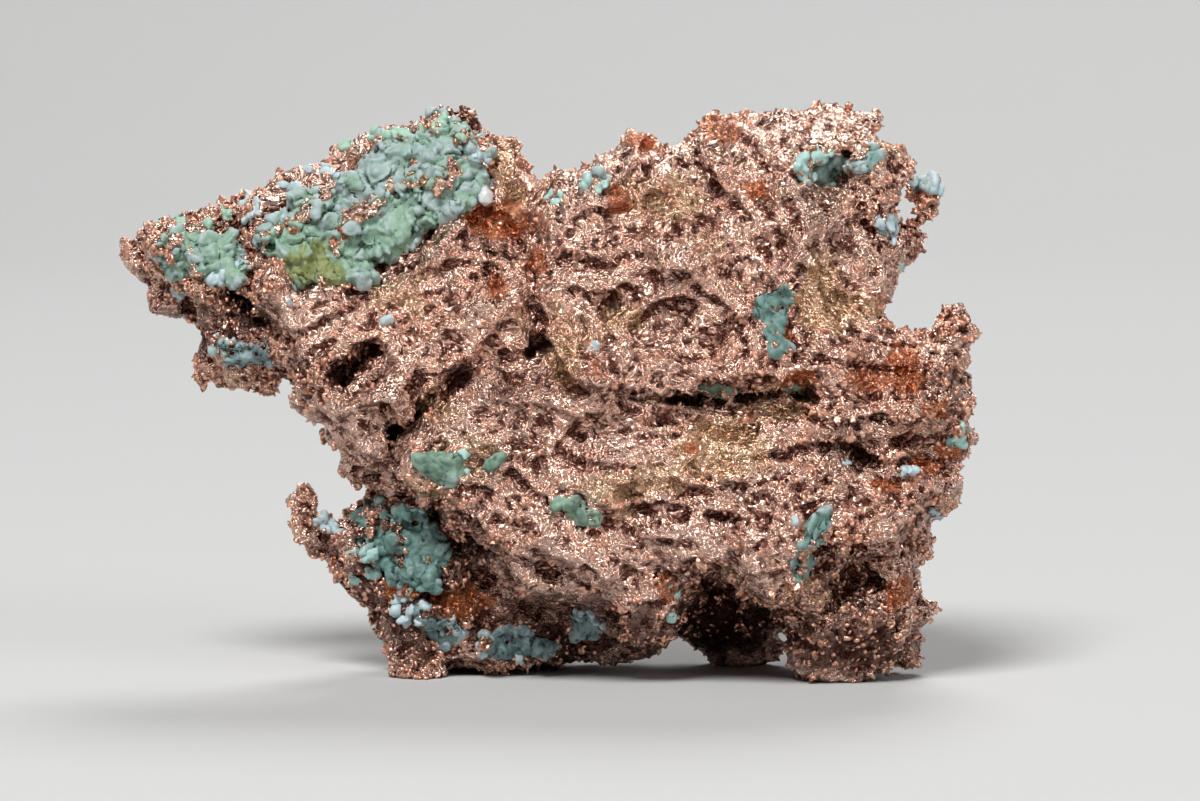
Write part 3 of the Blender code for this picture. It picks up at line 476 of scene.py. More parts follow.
def keep_shells(obj, fewest):
    """Remove loose shells with fewer vertices than that."""
    mesh = bmesh.new()
    mesh.from_mesh(obj.data)
    mesh.verts.ensure_lookup_table()
    seen = np.zeros(len(mesh.verts), bool)
    loose = []
    for start in mesh.verts:
        if seen[start.index]:
            continue
        seen[start.index] = True
        shell = [start]
        for vert in shell:
            for edge in vert.link_edges:
                other = edge.other_vert(vert)
                if not seen[other.index]:
                    seen[other.index] = True
                    shell.append(other)
        if len(shell) < fewest:
            loose += shell
    bmesh.ops.delete(mesh, geom=loose, context="VERTS")
    mesh.to_mesh(obj.data)
    mesh.free()


def mesh_of_many(name, shapes, faces, frames, centres):
    """One mesh of many pieces with the same faces. Each piece's frame is a 3x3 matrix, whose
    columns are the piece's axes in millimetres."""
    points = np.einsum("nij,nkj->nki", frames, shapes) + centres[:, None]
    offsets = np.arange(len(centres))[:, None, None] * shapes.shape[1]
    return mesh_from(name, points.reshape(-1, 3), (faces[None] + offsets).reshape(-1, 3))


def many_lumps(name, centres, frames, rng, rough):
    """One mesh of many rough closed lumps; the columns of a frame are its half axes."""
    ball = bmesh.new()
    bmesh.ops.create_icosphere(ball, subdivisions=1, radius=1)
    corners = np.array([vert.co[:] for vert in ball.verts])
    faces = np.array([[vert.index for vert in face.verts] for face in ball.faces])
    ball.free()
    shapes = corners[None] * (1 + rough * rng.normal(size=(len(centres), len(corners), 1)))
    return mesh_of_many(name, shapes, faces, frames, centres)


def unit(vectors):
    """Vectors of length 1."""
    return vectors / np.linalg.norm(vectors, axis=1, keepdims=True)


def frames_along(axes, rng, along, across):
    """Half axes for lumps: the first column along each given axis, the others across it."""
    axes = unit(axes)
    side = unit(np.cross(axes, rng.normal(size=axes.shape)))
    third = np.cross(axes, side)
    return np.stack([axes * along[:, None], side * across[:, None],
                     third * (across * rng.uniform(0.6, 1.1, len(axes)))[:, None]], axis=2)


def scatter(mesh, count, density, rng):
    """Random places on a mesh, crowded where density is high: places, normals."""
    (points, normals), faces = surface_of(mesh), triangles_of(mesh)
    corners = points[faces]
    sides = corners[:, 1:] - corners[:, :1]
    area = np.linalg.norm(np.cross(sides[:, 0], sides[:, 1]), axis=1)
    chance = area * density[faces].mean(axis=1)
    picked = rng.choice(len(faces), size=count, p=chance / chance.sum())
    mix = rng.dirichlet((1, 1, 1), size=count)
    return (np.einsum("ij,ijk->ik", mix, corners[picked]),
            np.einsum("ij,ijk->ik", mix, normals[faces[picked]]))


def float_layer(mesh, name, values):
    """Store one number per vertex, which materials read by name."""
    layer = mesh.attributes.new(name, "FLOAT", "POINT")
    layer.data.foreach_set("value", np.asarray(values, np.float32))


def relax(mesh, points, times):
    """Points averaged with their neighbours again and again."""
    edges = np.empty(len(mesh.edges) * 2, np.int32)
    mesh.edges.foreach_get("vertices", edges)
    one, other = edges.reshape(-1, 2).T
    size = len(points)
    count = np.bincount(one, minlength=size) + np.bincount(other, minlength=size)
    for _ in range(times):
        total = np.stack([np.bincount(one, points[other, k], size)
                          + np.bincount(other, points[one, k], size) for k in range(3)], axis=1)
        points = 0.4 * points + 0.6 * total / np.maximum(count, 1)[:, None]
    return points


def hollow_depth(mesh, times):
    """How far each vertex lies below its smoothed surroundings, in millimetres."""
    points, normals = surface_of(mesh)
    return dot(relax(mesh, points, times) - points, normals)


def tree_of(obj):
    """A tree for rays and nearest points, in millimetres."""
    return BVHTree.FromPolygons(points_of(obj.data).tolist(), triangles_of(obj.data).tolist())


def cast(tree, x, z, side=-1):
    """Where a ray along the y axis, from that side, first meets the tree, and the normal."""
    return tree.ray_cast(Vector((x, side * RAY_START, z)), Vector((0, -side, 0)))[:2]


def reach_at(points, x, z, half_width, half_height):
    """How far points are from x, z on the broad face: 1 on the rim of the ellipse."""
    return np.hypot((points[:, 0] - x) / half_width, (points[:, 2] - z) / half_height)


def spots(points, spot_list, front):
    """Mask of ragged spots on the broad face."""
    mask = np.zeros(len(points))
    ragged = 0.45 * noise_at(points, 1.3, 21) + 0.3 * noise_at(points, 0.5, 22)
    for spot in spot_list:
        mask = np.maximum(mask, smooth_step(1.2 - reach_at(points, *spot) + ragged, 0, 0.5))
    return mask * front


def area_mask(points, areas):
    """Mask of broad, ragged areas, each with its own strength."""
    mask = np.zeros(len(points))
    ragged = 0.3 * noise_at(points, 2.6, 95) + 0.25 * noise_at(points, 1.0, 96)
    for *area, strength in areas:
        inside = smooth_step(1.1 - reach_at(points, *area) + ragged, 0, 0.7)
        mask = np.maximum(mask, strength * inside)
    return mask


def crease_depth_at(points):
    """Depth of the creases, with a lip of raised copper over each."""
    depth = np.zeros(len(points))
    bent = warp(points, 2.2, 0.45, 46)[:, (0, 2)]
    for half_width, deepest, path in CREASES:
        corners = np.array(path, float)
        low, high = corners.min(axis=0) - 2.5, corners.max(axis=0) + 2.5
        near = np.flatnonzero(np.all((bent > low) & (bent < high), axis=1))
        place = bent[near]
        nearest = np.full(len(near), 9.0)
        above = np.zeros(len(near))
        for start, end in zip(corners, corners[1:]):
            run = end - start
            share = np.clip((place - start) @ run / (run @ run), 0, 1)
            away = place - start - share[:, None] * run
            distance = np.linalg.norm(away, axis=1)
            closer = distance < nearest
            nearest = np.where(closer, distance, nearest)
            above = np.where(closer, away[:, 1], above)
        groove = deepest * np.exp(-(nearest / half_width) ** 2)
        lip = 0.45 * deepest * smooth_step(above, -0.2, half_width)
        lip *= smooth_step(-nearest, -2.4, -0.8)
        depth[near] = np.where(groove > lip, np.maximum(depth[near], groove), depth[near] - lip)
    return depth


def hackly_at(points, normals):
    """How hackly the copper is: high on rims, the arm, the claw and the right foot."""
    facing = normals @ FACE_AXIS
    level = 0.05 + 0.85 * smooth_step(-facing, -0.45, 0.25)
    level = np.where(points[:, 1] > 6, 0.30 + 0.5 * noise_at(points, 9, 31), level)
    for *area, crowd in HACKLY_AREAS:
        level = np.maximum(level, crowd * smooth_step(-reach_at(points, *area), -1.15, -0.7))
    return np.clip(level * (0.8 + 0.5 * noise_at(points, 3.5, 32)), 0.02, 1)


# ---------------------------------------------------------------- shader helpers
class Socket:
    """An output socket that can be used in arithmetic."""

    def __init__(self, shader, output):
        self.shader = shader
        self.output = output

    def math(self, operation, *values):
        return self.shader.add(
            "ShaderNodeMath", {"operation": operation}, dict(enumerate(values)))

    def __abs__(self):
        return self.math("ABSOLUTE", self)

    def __add__(self, other):
        return self.math("ADD", self, other)

    def __radd__(self, other):
        return self.math("ADD", other, self)

    def __sub__(self, other):
        return self.math("SUBTRACT", self, other)

    def __rsub__(self, other):
        return self.math("SUBTRACT", other, self)

    def __mul__(self, other):
        return self.math("MULTIPLY", self, other)

    def __rmul__(self, other):
        return self.math("MULTIPLY", other, self)


class Shader:
    """A material and the nodes that it is made of."""

    def __init__(self, name):
        self.material = bpy.data.materials.new(name)
        self.material.use_nodes = True
        self.tree = self.material.node_tree
        self.surface = self.tree.nodes["Principled BSDF"]

    def add(self, kind, settings, inputs, output=0):
        """A new node: settings first, then the values or links of its sockets."""
        node = self.tree.nodes.new(kind)
        for name, value in settings.items():
            setattr(node, name, value)
        self.connect(node, inputs)
        return Socket(self, node.outputs[output])

    def connect(self, node, inputs):
        """Give sockets of the node their values or links."""
        for name, value in inputs.items():
            socket = node.inputs[name]
            if isinstance(value, Socket):
                self.tree.links.new(value.output, socket)
            else:
                socket.default_value = (*value, 1) if socket.type == "RGBA" else value

    def layer(self, name):
        """A number stored on the mesh."""
        return self.add("ShaderNodeAttribute", {"attribute_name": name}, {}, "Fac")

    def place(self):
        return self.add("ShaderNodeTexCoord", {}, {}, "Object")

    def vector(self, operation, inputs, output="Vector"):
        return self.add("ShaderNodeVectorMath", {"operation": operation}, inputs, output)

    def noise(self, size, detail=3.0, rough=0.6, bend=0.0, place=None, output="Fac"):
        """Smooth noise, 0 to 1, with lumps of the given size in metres."""
        return self.add("ShaderNodeTexNoise", {}, {
            "Vector": place or self.place(), "Scale": 1 / size, "Detail": detail,
            "Roughness": rough, "Distortion": bend}, output)

    def bent_place(self, size, amount, stretch=(1, 1, 1)):
        """Places pushed about by noise and then stretched, which bends what reads them."""
        push = self.noise(size, 2.0, 0.5, output="Color")
        moved = self.vector("MULTIPLY_ADD", {0: push, 1: [amount] * 3, 2: self.place()})
        return self.vector("MULTIPLY", {0: moved, 1: stretch})

    def facets(self, size, place):
        """Small flat facets that each tilt their own way, about -0.4 to 0.4."""
        scaled = self.vector("SCALE", {"Vector": place, "Scale": 1 / size})
        cell = self.add("ShaderNodeTexVoronoi", {}, {"Vector": scaled, "Scale": 1.0}, "Position")
        tilt = Socket(self, cell.output.node.outputs["Color"])
        lean = self.vector("SUBTRACT", {0: tilt, 1: (0.5, 0.5, 0.5)})
        offset = self.vector("SUBTRACT", {0: scaled, 1: cell})
        return self.vector("DOT_PRODUCT", {0: offset, 1: lean}, "Value")

    def ridges(self, size, place, detail):
        """Sharp wrinkles, 0 in the valleys to about 1 on the crests."""
        return 1 - abs(self.noise(size, detail, place=place) - 0.5) * 4.0

    def ramp(self, value, low, high):
        """0 below low, 1 above high."""
        return self.add("ShaderNodeMapRange", {"interpolation_type": "SMOOTHSTEP"}, {
            "Value": value, "From Min": low, "From Max": high})

    def blend(self, mask, colour, other):
        """The first colour where mask is 0 and the other where it is 1."""
        return self.add("ShaderNodeMix", {"data_type": "RGBA"}, {
            0: mask, 6: colour, 7: other}, 2)

    def bump(self, height, strength, distance):
        return self.add("ShaderNodeBump", {}, {
            "Strength": strength, "Distance": distance, "Height": height})

    def finish(self, inputs):
        """Fill the surface shader's sockets; the finished material."""
        self.connect(self.surface, inputs)
        return self.material


# ---------------------------------------------------------------- materials
def native_copper(settings):
    """Crumpled copper: bright crests, painted shade in the folds and pits, brown oxide with
    painted shade where sheltered, spots of tarnish.
    """
    copper = Shader("native_copper")
    crease, pit = copper.layer("crease"), copper.layer("pit")
    orange, gold, brown = copper.layer("orange"), copper.layer("gold"), copper.layer("brown")
    blotch = copper.noise(2.2 * MM, 4.0, 0.65)
    speck = copper.noise(0.35 * MM, 2.0, 0.7)
    drift = copper.noise(7.0 * MM, 2.0, 0.5)
    flow = copper.bent_place(1.2 * MM, 0.7 * MM, (0.9, 1.0, 1.25))
    groove = copper.ramp(copper.ridges(0.85 * MM, flow, 3.0), 0.50, 1.0)
    facet = copper.facets(0.44 * MM, flow) + copper.facets(0.21 * MM, flow) * 0.5
    # Painted shade: creases, small hollows and the grooves of the bump take the dark copper, mixed
    # with broad random tone.
    fold_shade = copper.ramp(
        crease + (drift - 0.5) * 0.7 + (blotch - 0.5) * 0.5 + groove * 0.55, 0.30, 1.15)
    colour = copper.blend(fold_shade, settings.bright, settings.deep)
    # Brown oxide with painted shade.
    brown_and_shade = copper.ramp(brown + (blotch - 0.5) * 0.7 + (speck - 0.5) * 0.6, 0.2, 1.0)
    colour = copper.blend(brown_and_shade * 0.8, colour, settings.brown)
    patina = copper.ramp(gold + (speck - 0.5) * 0.7, 0.25, 0.85)
    colour = copper.blend(patina * 0.45, colour, settings.gold)
    rust = copper.ramp(orange + (speck - 0.5) * 0.9 + (blotch - 0.5) * 0.8, 0.3, 0.85)
    colour = copper.blend(rust * 0.8, colour, settings.orange)
    # Painted shade: near-black where hollows are deep or deep shade falls.
    dark = copper.ramp(pit + (speck - 0.5) * 0.35, 0.25, 0.9)
    colour = copper.blend(dark, colour, settings.pit)
    crinkle = copper.bump(facet - groove * 0.35 + speck * 0.30, 1.0, 0.32 * MM)
    return copper.finish({
        "Base Color": colour,
        "Metallic": 1.0,
        "Roughness": 0.13 + blotch * 0.10 + rust * 0.08 + dark * 0.25 + patina * 0.06,
        "Normal": crinkle})


def waxy_mineral(name, colour, settings, stained):
    """Waxy translucent grains with dark cracks between them, painted shade in hollows and a
    painted highlight on their crests.
    """
    wax = Shader(name)
    crack, crest, tint = wax.layer("crack"), wax.layer("crest"), wax.layer("tint")
    cloud = wax.noise(1.6 * MM, 3.0, 0.55)
    mottle = wax.noise(0.45 * MM, 2.0, 0.6)
    # Painted highlight on the crests, mixed with random paler grains, paler grains high up and
    # cloudy tone.
    pale = wax.ramp(crest + tint * 0.45 + (cloud - 0.5) * 0.8, 0.1, 1.1)
    shade = wax.blend(pale, colour, settings.highlight_pale)
    if stained:
        stain = wax.layer("stain")
        shade = wax.blend(wax.ramp(stain + (mottle - 0.5) * 0.6, 0.2, 0.8), shade,
                          settings.olive)
    # Dark joints between the grains, with painted shade.
    gap = wax.ramp(crack + (mottle - 0.5) * 0.5, 0.3, 0.95)
    shade = wax.blend(gap, shade, settings.crack)
    place = wax.bent_place(1.0 * MM, 0.3 * MM)
    rough = wax.facets(0.55 * MM, place) * 0.7 + wax.noise(0.30 * MM, 3.0, 0.6, 0.4) * 0.5
    return wax.finish({
        "Subsurface Weight": 0.35,
        "Subsurface Radius": (1.0, 1.0, 1.0),
        "Subsurface Scale": 0.6 * MM,
        "Specular IOR Level": 0.5,
        "IOR": 1.5,
        "Base Color": shade,
        "Roughness": 0.42 + mottle * 0.2 + gap * 0.2,
        "Normal": wax.bump(rough, 0.8, 0.20 * MM)})


def milky_crystal(settings):
    """A milky clear crystal."""
    return Shader("milky_crystal").finish({
        "Base Color": settings.crystal, "Roughness": 0.16, "IOR": 1.54,
        "Transmission Weight": 0.35, "Subsurface Weight": 0.3,
        "Subsurface Scale": 0.6 * MM})


def plain_floor(settings):
    """Plain matt floor."""
    return Shader("plain_floor").finish({"Base Color": settings.floor_colour, "Roughness": 0.9})


# ---------------------------------------------------------------- copper
def fold_height_at(points):
    """Torn sheets that overlap like shingles, and run each their own way."""
    total, weights = np.zeros(len(points)), np.full(len(points), 0.25)
    for n, (x, z, radius, angle) in enumerate(FOLD_RUNS):
        reach = np.hypot(points[:, 0] - x, points[:, 2] - z) / radius
        near = reach < 1.6
        weight = smooth_step(-reach[near], -1.6, -0.3)
        turn = math.radians(angle)
        along = points[near, 0] * math.cos(turn) + points[near, 2] * math.sin(turn)
        across = points[near, 2] * math.cos(turn) - points[near, 0] * math.sin(turn)
        flow = np.stack([along / 3.0, across, points[near, 1] / 1.5], axis=1)
        phase = across / 3.4 + 0.55 * noise_at(flow, 3.2, 50 + n)
        phase += 0.16 * noise_at(points[near], 1.6, 60 + n)
        torn = 1 - (phase - np.floor(phase))
        strength = smooth_step(noise_at(flow, 4.5, 75 + n), -0.35, 0.35)
        total[near] += weight * (torn - 0.5) * (0.25 + 1.1 * strength)
        weights[near] += weight
    return total / weights


def add_nodules(skin, count, rng):
    """Lumps, knuckles and short spikes of copper, thrust through the skin."""
    points, normals = surface_of(skin.data)
    centres, axes = scatter(skin.data, count, hackly_at(points, normals) ** 2.5, rng)
    lean = axes + 1.2 * rng.normal(size=axes.shape)
    size = np.clip(np.exp(rng.normal(-0.9, 0.36, count)), 0.26, 0.85)
    long = size * rng.uniform(0.8, 1.25, count)
    frames = frames_along(lean, rng, long, size * 0.85)
    return many_lumps("nodules", centres - axes * size[:, None] * 0.2, frames, rng, 0.3)


def add_rims(copper, crusts, rng):
    """Ragged copper round the crusts' rims, and through the crusts of the back."""
    places, normals = scatter(crusts.data, RIM_PLACES, np.ones(len(crusts.data.vertices)), rng)
    gap = np.array([copper.find_nearest(place)[3] for place in places.tolist()])
    rim = (gap > 0.03) & (gap < 0.35) & (noise_at(places, 2.2, 121) > -0.15)
    inside = (places[:, 1] > 3) & (gap > 0.35) & (noise_at(places, 2.8, 122) > 0.42)
    centres = np.concatenate([places[rim], places[inside], (places - 0.5 * normals)[inside]])
    size = rng.uniform(0.28, 0.50, len(centres))
    frames = frames_along(rng.normal(size=centres.shape), rng, size * 1.3, size)
    return many_lumps("rims", centres, frames, rng, 0.28)


def add_islands(copper, crust, rng):
    """Ragged copper that reaches out through the crusts."""
    centres, axes, along, across = [], [], [], []
    for x, z, half, radius, slope in ISLANDS:
        turn = math.radians(slope)
        run = Vector((math.cos(turn), 0, math.sin(turn)))
        for _ in range(int(10 + 9 * half)):
            place = Vector((x, 0, z)) + run * rng.uniform(-half, half)
            place += Vector((rng.normal(0, radius * 0.5), 0, rng.normal(0, radius * 0.5)))
            outer, inner = (cast(tree, place.x, place.z)[0] for tree in (crust, copper))
            if outer is None or inner is None:
                continue
            top = outer.y - rng.uniform(-0.5, 0.45)
            for level in np.arange(top, inner.y + 0.6, 0.55):
                centres.append((place.x + rng.normal(0, 0.15), level,
                                place.z + rng.normal(0, 0.15)))
                axes.append(rng.normal(size=3))
                along.append(rng.uniform(0.45, 0.85))
                across.append(rng.uniform(0.3, 0.55))
    frames = frames_along(np.array(axes), rng, np.array(along), np.array(across))
    return many_lumps("islands", np.array(centres), frames, rng, 0.28)


def make_copper_skin(settings):
    """The copper as one torn, crumpled, closed skin."""
    rng = np.random.default_rng(21)
    skin = copy_of_node(COPPER_NODE)
    crusts = copy_of_node("upper_arm_crust")
    join_meshes(crusts, *[frame["nodes"][node].data for node in sorted(frame["nodes"])
                          if node not in (COPPER_NODE, "upper_arm_crust")])
    copper = tree_of(skin)
    islands = add_islands(copper, tree_of(crusts), rng)
    rims = add_rims(copper, crusts, rng)
    bpy.data.objects.remove(crusts)
    fuse(skin, settings.rough_grid, 0.5, 3)

    points, normals = surface_of(skin.data)
    front = smooth_step(normals @ FACE_AXIS, 0.0, 0.5)
    hackly = hackly_at(points, normals)
    torn = warp(warp(points, 3.2, 0.8, 15), 1.6, 0.4, 16)
    points += (torn - points) * (0.25 + 0.6 * hackly[:, None])
    bent = warp(points, 6.0, 2.0, 3)
    crags = 0.8 * crumple_at(bent, 6.2, 5) - 0.8 * crumple_at(bent, 3.6, 7)
    crags += hackly * (0.5 * crumple_at(bent, 2.9, 6) - 0.7 * crumple_at(bent, 2.0, 8))
    height = crags * (0.7 + 0.5 * hackly) * settings.crag_height / MM
    height += front * (1 - 0.6 * hackly) * fold_height_at(points) * settings.fold_height / MM
    runs = ridges_at(bent * (0.6, 1.0, 1.1), 4.4, 9) + 0.4 * ridges_at(bent, 2.2, 10) - 0.7
    height += (1 - front) * runs * settings.fold_height / MM
    height -= front * crease_depth_at(points)
    place_points(skin.data, points + normals * height[:, None])

    join_meshes(skin, add_nodules(skin, settings.nodules, rng), islands, rims)
    fuse(skin, settings.fine_grid, 0.4, 1)

    points, normals = surface_of(skin.data)
    hackly = hackly_at(points, normals)
    bent = warp(points, 1.8, 0.5, 83)
    crumple = 0.7 * crumple_at(bent, 1.0, 82) - 0.9 * crumple_at(bent, 1.6, 81)
    crumple += 0.3 * facets_at(bent, 0.8, 85) - 0.5 * crumple_at(bent, 0.62, 84)
    calm = 0.14 + 0.6 * smooth_step(noise_at(points, 4.6, 86), 0.05, 0.6)
    height = crumple * (calm + (1.05 - calm) * hackly) * settings.crumple_height / MM
    place_points(skin.data, points + normals * height[:, None])
    keep_shells(skin, SKIN_SHELL)
    faces = len(triangles_of(skin.data))
    if faces > settings.skin_faces:
        modify(skin, "DECIMATE", ratio=settings.skin_faces / faces)
    skin.data.name = skin.name = SKIN_NAME
    colour_layers(skin.data)
    return skin


def colour_layers(mesh):
    """Painted shade in creases, hollows, on down-facing surfaces and in deep shade, brown oxide,
    and spots of tarnish as numbers on the vertices.
    """
    points, normals = surface_of(mesh)
    small, broad = hollow_depth(mesh, 4), hollow_depth(mesh, 28)
    hackly = hackly_at(points, normals)
    front = smooth_step(normals @ FACE_AXIS, -0.3, 0.2)
    # Painted shade in small hollows, and darker on hackly copper.
    float_layer(mesh, "crease", smooth_step(small, -0.02, 0.13) * 0.7 + 0.30 * hackly)
    # Painted shade: darker in broad hollows and where deep shade falls.
    shade = area_mask(points, SHADED_AREAS)
    float_layer(mesh, "pit", np.maximum(smooth_step(broad, 0.25, 1.1), 0.8 * shade))
    scattered = smooth_step(noise_at(points, 3.4, 91) + 0.5 * noise_at(points, 1.4, 92), 0.42, 0.7)
    scattered *= 0.2 + 0.35 * hackly
    float_layer(mesh, "orange", np.maximum(spots(points, ORANGE_SPOTS, front), scattered))
    patches = smooth_step(noise_at(points, 6.5, 93) + 0.4 * noise_at(points, 2.1, 94), 0.35, 0.8)
    float_layer(mesh, "gold", np.maximum(spots(points, GOLD_SPOTS, front), patches * 0.6))
    # Brown oxide with painted shade in the listed areas, and browner noise patches on the back.
    brown = area_mask(points, BROWN_AND_SHADE_AREAS)
    behind = 0.25 + 0.8 * noise_at(points, 9.0, 97)
    brown = np.where(points[:, 1] > 4, np.maximum(brown * 0.6, behind), brown)
    # Painted shade on surfaces that face down.
    underside_shade = smooth_step(-normals[:, 2], 0.2, 0.9)
    float_layer(mesh, "brown", np.clip(np.maximum(brown, 0.8 * underside_shade), 0, 1))


def make_hackle(settings):
    """Small sharp grains that glitter on rims and rough areas."""
    rng = np.random.default_rng(31)
    skin = bpy.data.objects[SKIN_NAME]
    points, normals = surface_of(skin.data)
    crowd = hackly_at(points, normals) ** 1.3 + 0.02
    crowd *= smooth_step(-hollow_depth(skin.data, 6), -0.12, 0.10)
    centres, axes = scatter(skin.data, settings.grains, crowd, rng)
    size = np.clip(np.exp(rng.normal(-1.6, 0.33, len(centres))), 0.10, 0.36)
    lean = axes + 1.2 * rng.normal(size=axes.shape)
    frames = frames_along(lean, rng, size * rng.uniform(0.9, 1.6, len(size)), size * 0.8)
    hackle = link("copper_hackle", many_lumps("copper_hackle", centres, frames, rng, 0.3))
    colour_layers(hackle.data)
    return hackle


def flake_shapes(count, rng):
    """Thin bent plates: corners for each flake and the faces of one."""
    rows, columns = 5, 4
    across, along = np.meshgrid(np.linspace(-1, 1, columns), np.linspace(0, 1, rows))
    across, along = across.ravel(), along.ravel()
    size = rng.uniform(0.30, 0.68, (count, 1))
    width = size * rng.uniform(0.5, 1.0, (count, 1)) * (1 - 0.45 * along ** 2)
    curl = rng.uniform(0.2, 1.3, (count, 1))
    x = across * width + 0.16 * size * rng.normal(size=(count, rows * columns))
    y = size * np.sin(along * curl * 1.4) / curl * 0.9 + 0.1 * rng.normal(size=x.shape)
    z = size * (1 - np.cos(along * curl * 1.4)) / curl + 0.13 * size * rng.normal(size=x.shape)
    sheet = np.stack([x, y, z], axis=2)
    thick = rng.uniform(0.07, 0.13, (count, 1, 1)) * np.array((0, 0, 1))
    points = np.concatenate([sheet + thick, sheet - thick], axis=1)
    faces = []
    below = rows * columns  # the first corner of the underside
    for row in range(rows - 1):
        for column in range(columns - 1):
            a = row * columns + column
            b, c, d = a + 1, a + columns + 1, a + columns
            faces += [(a, b, c), (a, c, d)]
            faces += [(below + c, below + b, below + a), (below + d, below + c, below + a)]
    rim = [*range(columns), *range(2 * columns - 1, below, columns),
           *range(below - 2, below - columns - 1, -1),
           *range(below - 2 * columns, 0, -columns)]
    for a, b in zip(rim, rim[1:] + rim[:1]):
        faces += [(b, a, a + below), (b, a + below, b + below)]
    return points, np.array(faces)


def make_flakes(settings):
    """Thin torn flakes that lift from the skin."""
    rng = np.random.default_rng(41)
    skin = bpy.data.objects[SKIN_NAME]
    points, normals = surface_of(skin.data)
    crowd = 0.25 + hackly_at(points, normals)
    crowd *= smooth_step(-hollow_depth(skin.data, 10), -0.05, 0.25)
    centres, axes = scatter(skin.data, settings.flakes, crowd, rng)
    shapes, faces = flake_shapes(len(centres), rng)
    up = unit(axes)
    side = unit(np.cross(up, rng.normal(size=up.shape)))
    ahead = np.cross(up, side)
    lift = rng.uniform(0.0, 0.5, (len(up), 1))
    frames = np.stack([side, ahead * np.cos(lift) + up * np.sin(lift),
                       up * np.cos(lift) - ahead * np.sin(lift)], axis=2)
    flakes = link("copper_flakes", mesh_of_many(
        "copper_flakes", shapes, faces, frames, centres - 0.12 * axes))
    colour_layers(flakes.data)
    return flakes


# ---------------------------------------------------------------- crusts
def crust_grains(points, normals, gap, settings, rng):
    """Well spaced places on the outer side of a crust, and a radius for each."""
    chosen, radii = [], []
    usual = 0.34 * settings.grain / MM
    for index in rng.permutation(np.flatnonzero(gap > 0.35)):
        radius = usual * rng.uniform(0.6, 1.35)
        if chosen:
            away = np.linalg.norm(points[chosen] - points[index], axis=1)
            if np.any(away < 1.25 * (radius + np.array(radii))):
                continue
        chosen.append(index)
        radii.append(radius)
    return points[chosen], normals[chosen], np.array(radii)


def make_crust(node, copper, settings, rng):
    """A crust of fused waxy grains that grows from the copper."""
    crust = copy_of_node(node)
    fuse(crust, FIRST_CRUST_GRID, 0.5, 2)
    points, normals = surface_of(crust.data)
    nearest = [copper.find_nearest(point) for point in points.tolist()]
    gap = np.array([found[3] for found in nearest])
    foot = np.array([found[0][:] for found in nearest])
    reach = smooth_step(-gap, -0.75, -0.35)
    inward = (foot - points) * reach[:, None] * 1.9
    place_points(crust.data, points + inward - normals * 0.22 * (1 - reach[:, None]))
    smooth = node in SMOOTH_CRUSTS
    if not smooth:
        centres, axes, radii = crust_grains(points, normals, gap, settings, rng)
        if len(centres) == 0:
            centres, axes, radii = points[:1], normals[:1], np.array((0.5,))
        sunk = centres - axes * radii[:, None] * 0.78
        frames = frames_along(axes + 0.8 * rng.normal(size=axes.shape), rng,
                              radii * rng.uniform(0.7, 1.0, len(radii)), radii * 1.05)
        join_meshes(crust, many_lumps("grains", sunk, frames, rng, 0.24))
    grain_surface(crust, settings, 0.3 if smooth else 0.9, CRUST_SHADE_DEPTHS.get(node, 0.0))
    if not crust.data.polygons:
        raise RuntimeError("nothing is left of the crust " + node)
    crust.name = crust.data.name = node.replace("_crust", "") + "_grains"
    return crust


def grain_surface(crust, settings, relief, depth):
    """Fuse a crust's lumps and break its surface into waxy, blocky grains; depth is painted shade
    that darkens the whole crust.
    """
    fuse(crust, settings.grid, 0.5, 1)
    keep_shells(crust, CRUST_SHELL)
    mesh = crust.data
    points, normals = surface_of(mesh)
    bent = warp(warp(points, 2.2, 0.8, 101), 0.8, 0.22, 102)
    found, offset, border = cells_at(bent, settings.grain / MM, 106)
    body = smooth_step(border, 0.0, 0.34)
    tilt = dot(offset, TABLE_VECTORS[found])
    height = body * (0.26 + 0.75 * (TABLE_PLACES[found, 1] - 0.5) + 0.95 * tilt) - 0.10
    part, lean, edge = cells_at(bent, 0.55 * settings.grain / MM, 107)
    height += 0.06 * smooth_step(edge, 0.0, 0.4) + 0.22 * dot(lean, TABLE_VECTORS[part])
    height = relief * (height + 0.5 * crumple_at(bent, 2.6, 108))
    height = height + 0.05 * noise_at(points, 0.5, 104)
    place_points(mesh, points + normals * height[:, None])
    small, broad = hollow_depth(mesh, 5), hollow_depth(mesh, 20)
    # Dark joints between the grains, with painted shade in small hollows, over a whole shaded
    # crust and where deep shade falls.
    gaps_and_shade = smooth_step(-border, -0.16, -0.02) + 0.5 * smooth_step(-edge, -0.12, 0.0)
    gaps_and_shade *= 0.25 + 0.5 * smooth_step(noise_at(points, 3.0, 109), -0.3, 0.4)
    gaps_and_shade = np.maximum(gaps_and_shade, depth * (0.85 + 0.4 * noise_at(points, 1.2, 110)))
    gaps_and_shade = np.maximum(gaps_and_shade, 0.66 * area_mask(points, SHADED_AREAS))
    float_layer(mesh, "crack", np.maximum(smooth_step(small, 0.04, 0.18), gaps_and_shade))
    # Painted highlight on raised parts, less on shaded crusts.
    float_layer(mesh, "crest", (1 - depth) * smooth_step(-broad, 0.0, 0.35))
    float_layer(mesh, "tint", TABLE_PLACES[found, 0] * 2 - 1 + smooth_step(points[:, 2], 40, 46))
    away = reach_at(points, *OLIVE_STAIN)
    uneven = 0.5 * noise_at(points, 1.5, 107) + 0.5 * (TABLE_PLACES[found, 2] - 0.5)
    float_layer(mesh, "stain", smooth_step(1.2 - away + uneven, 0.1, 1.0))
    mesh.polygons.foreach_set("use_smooth", [True] * len(mesh.polygons))


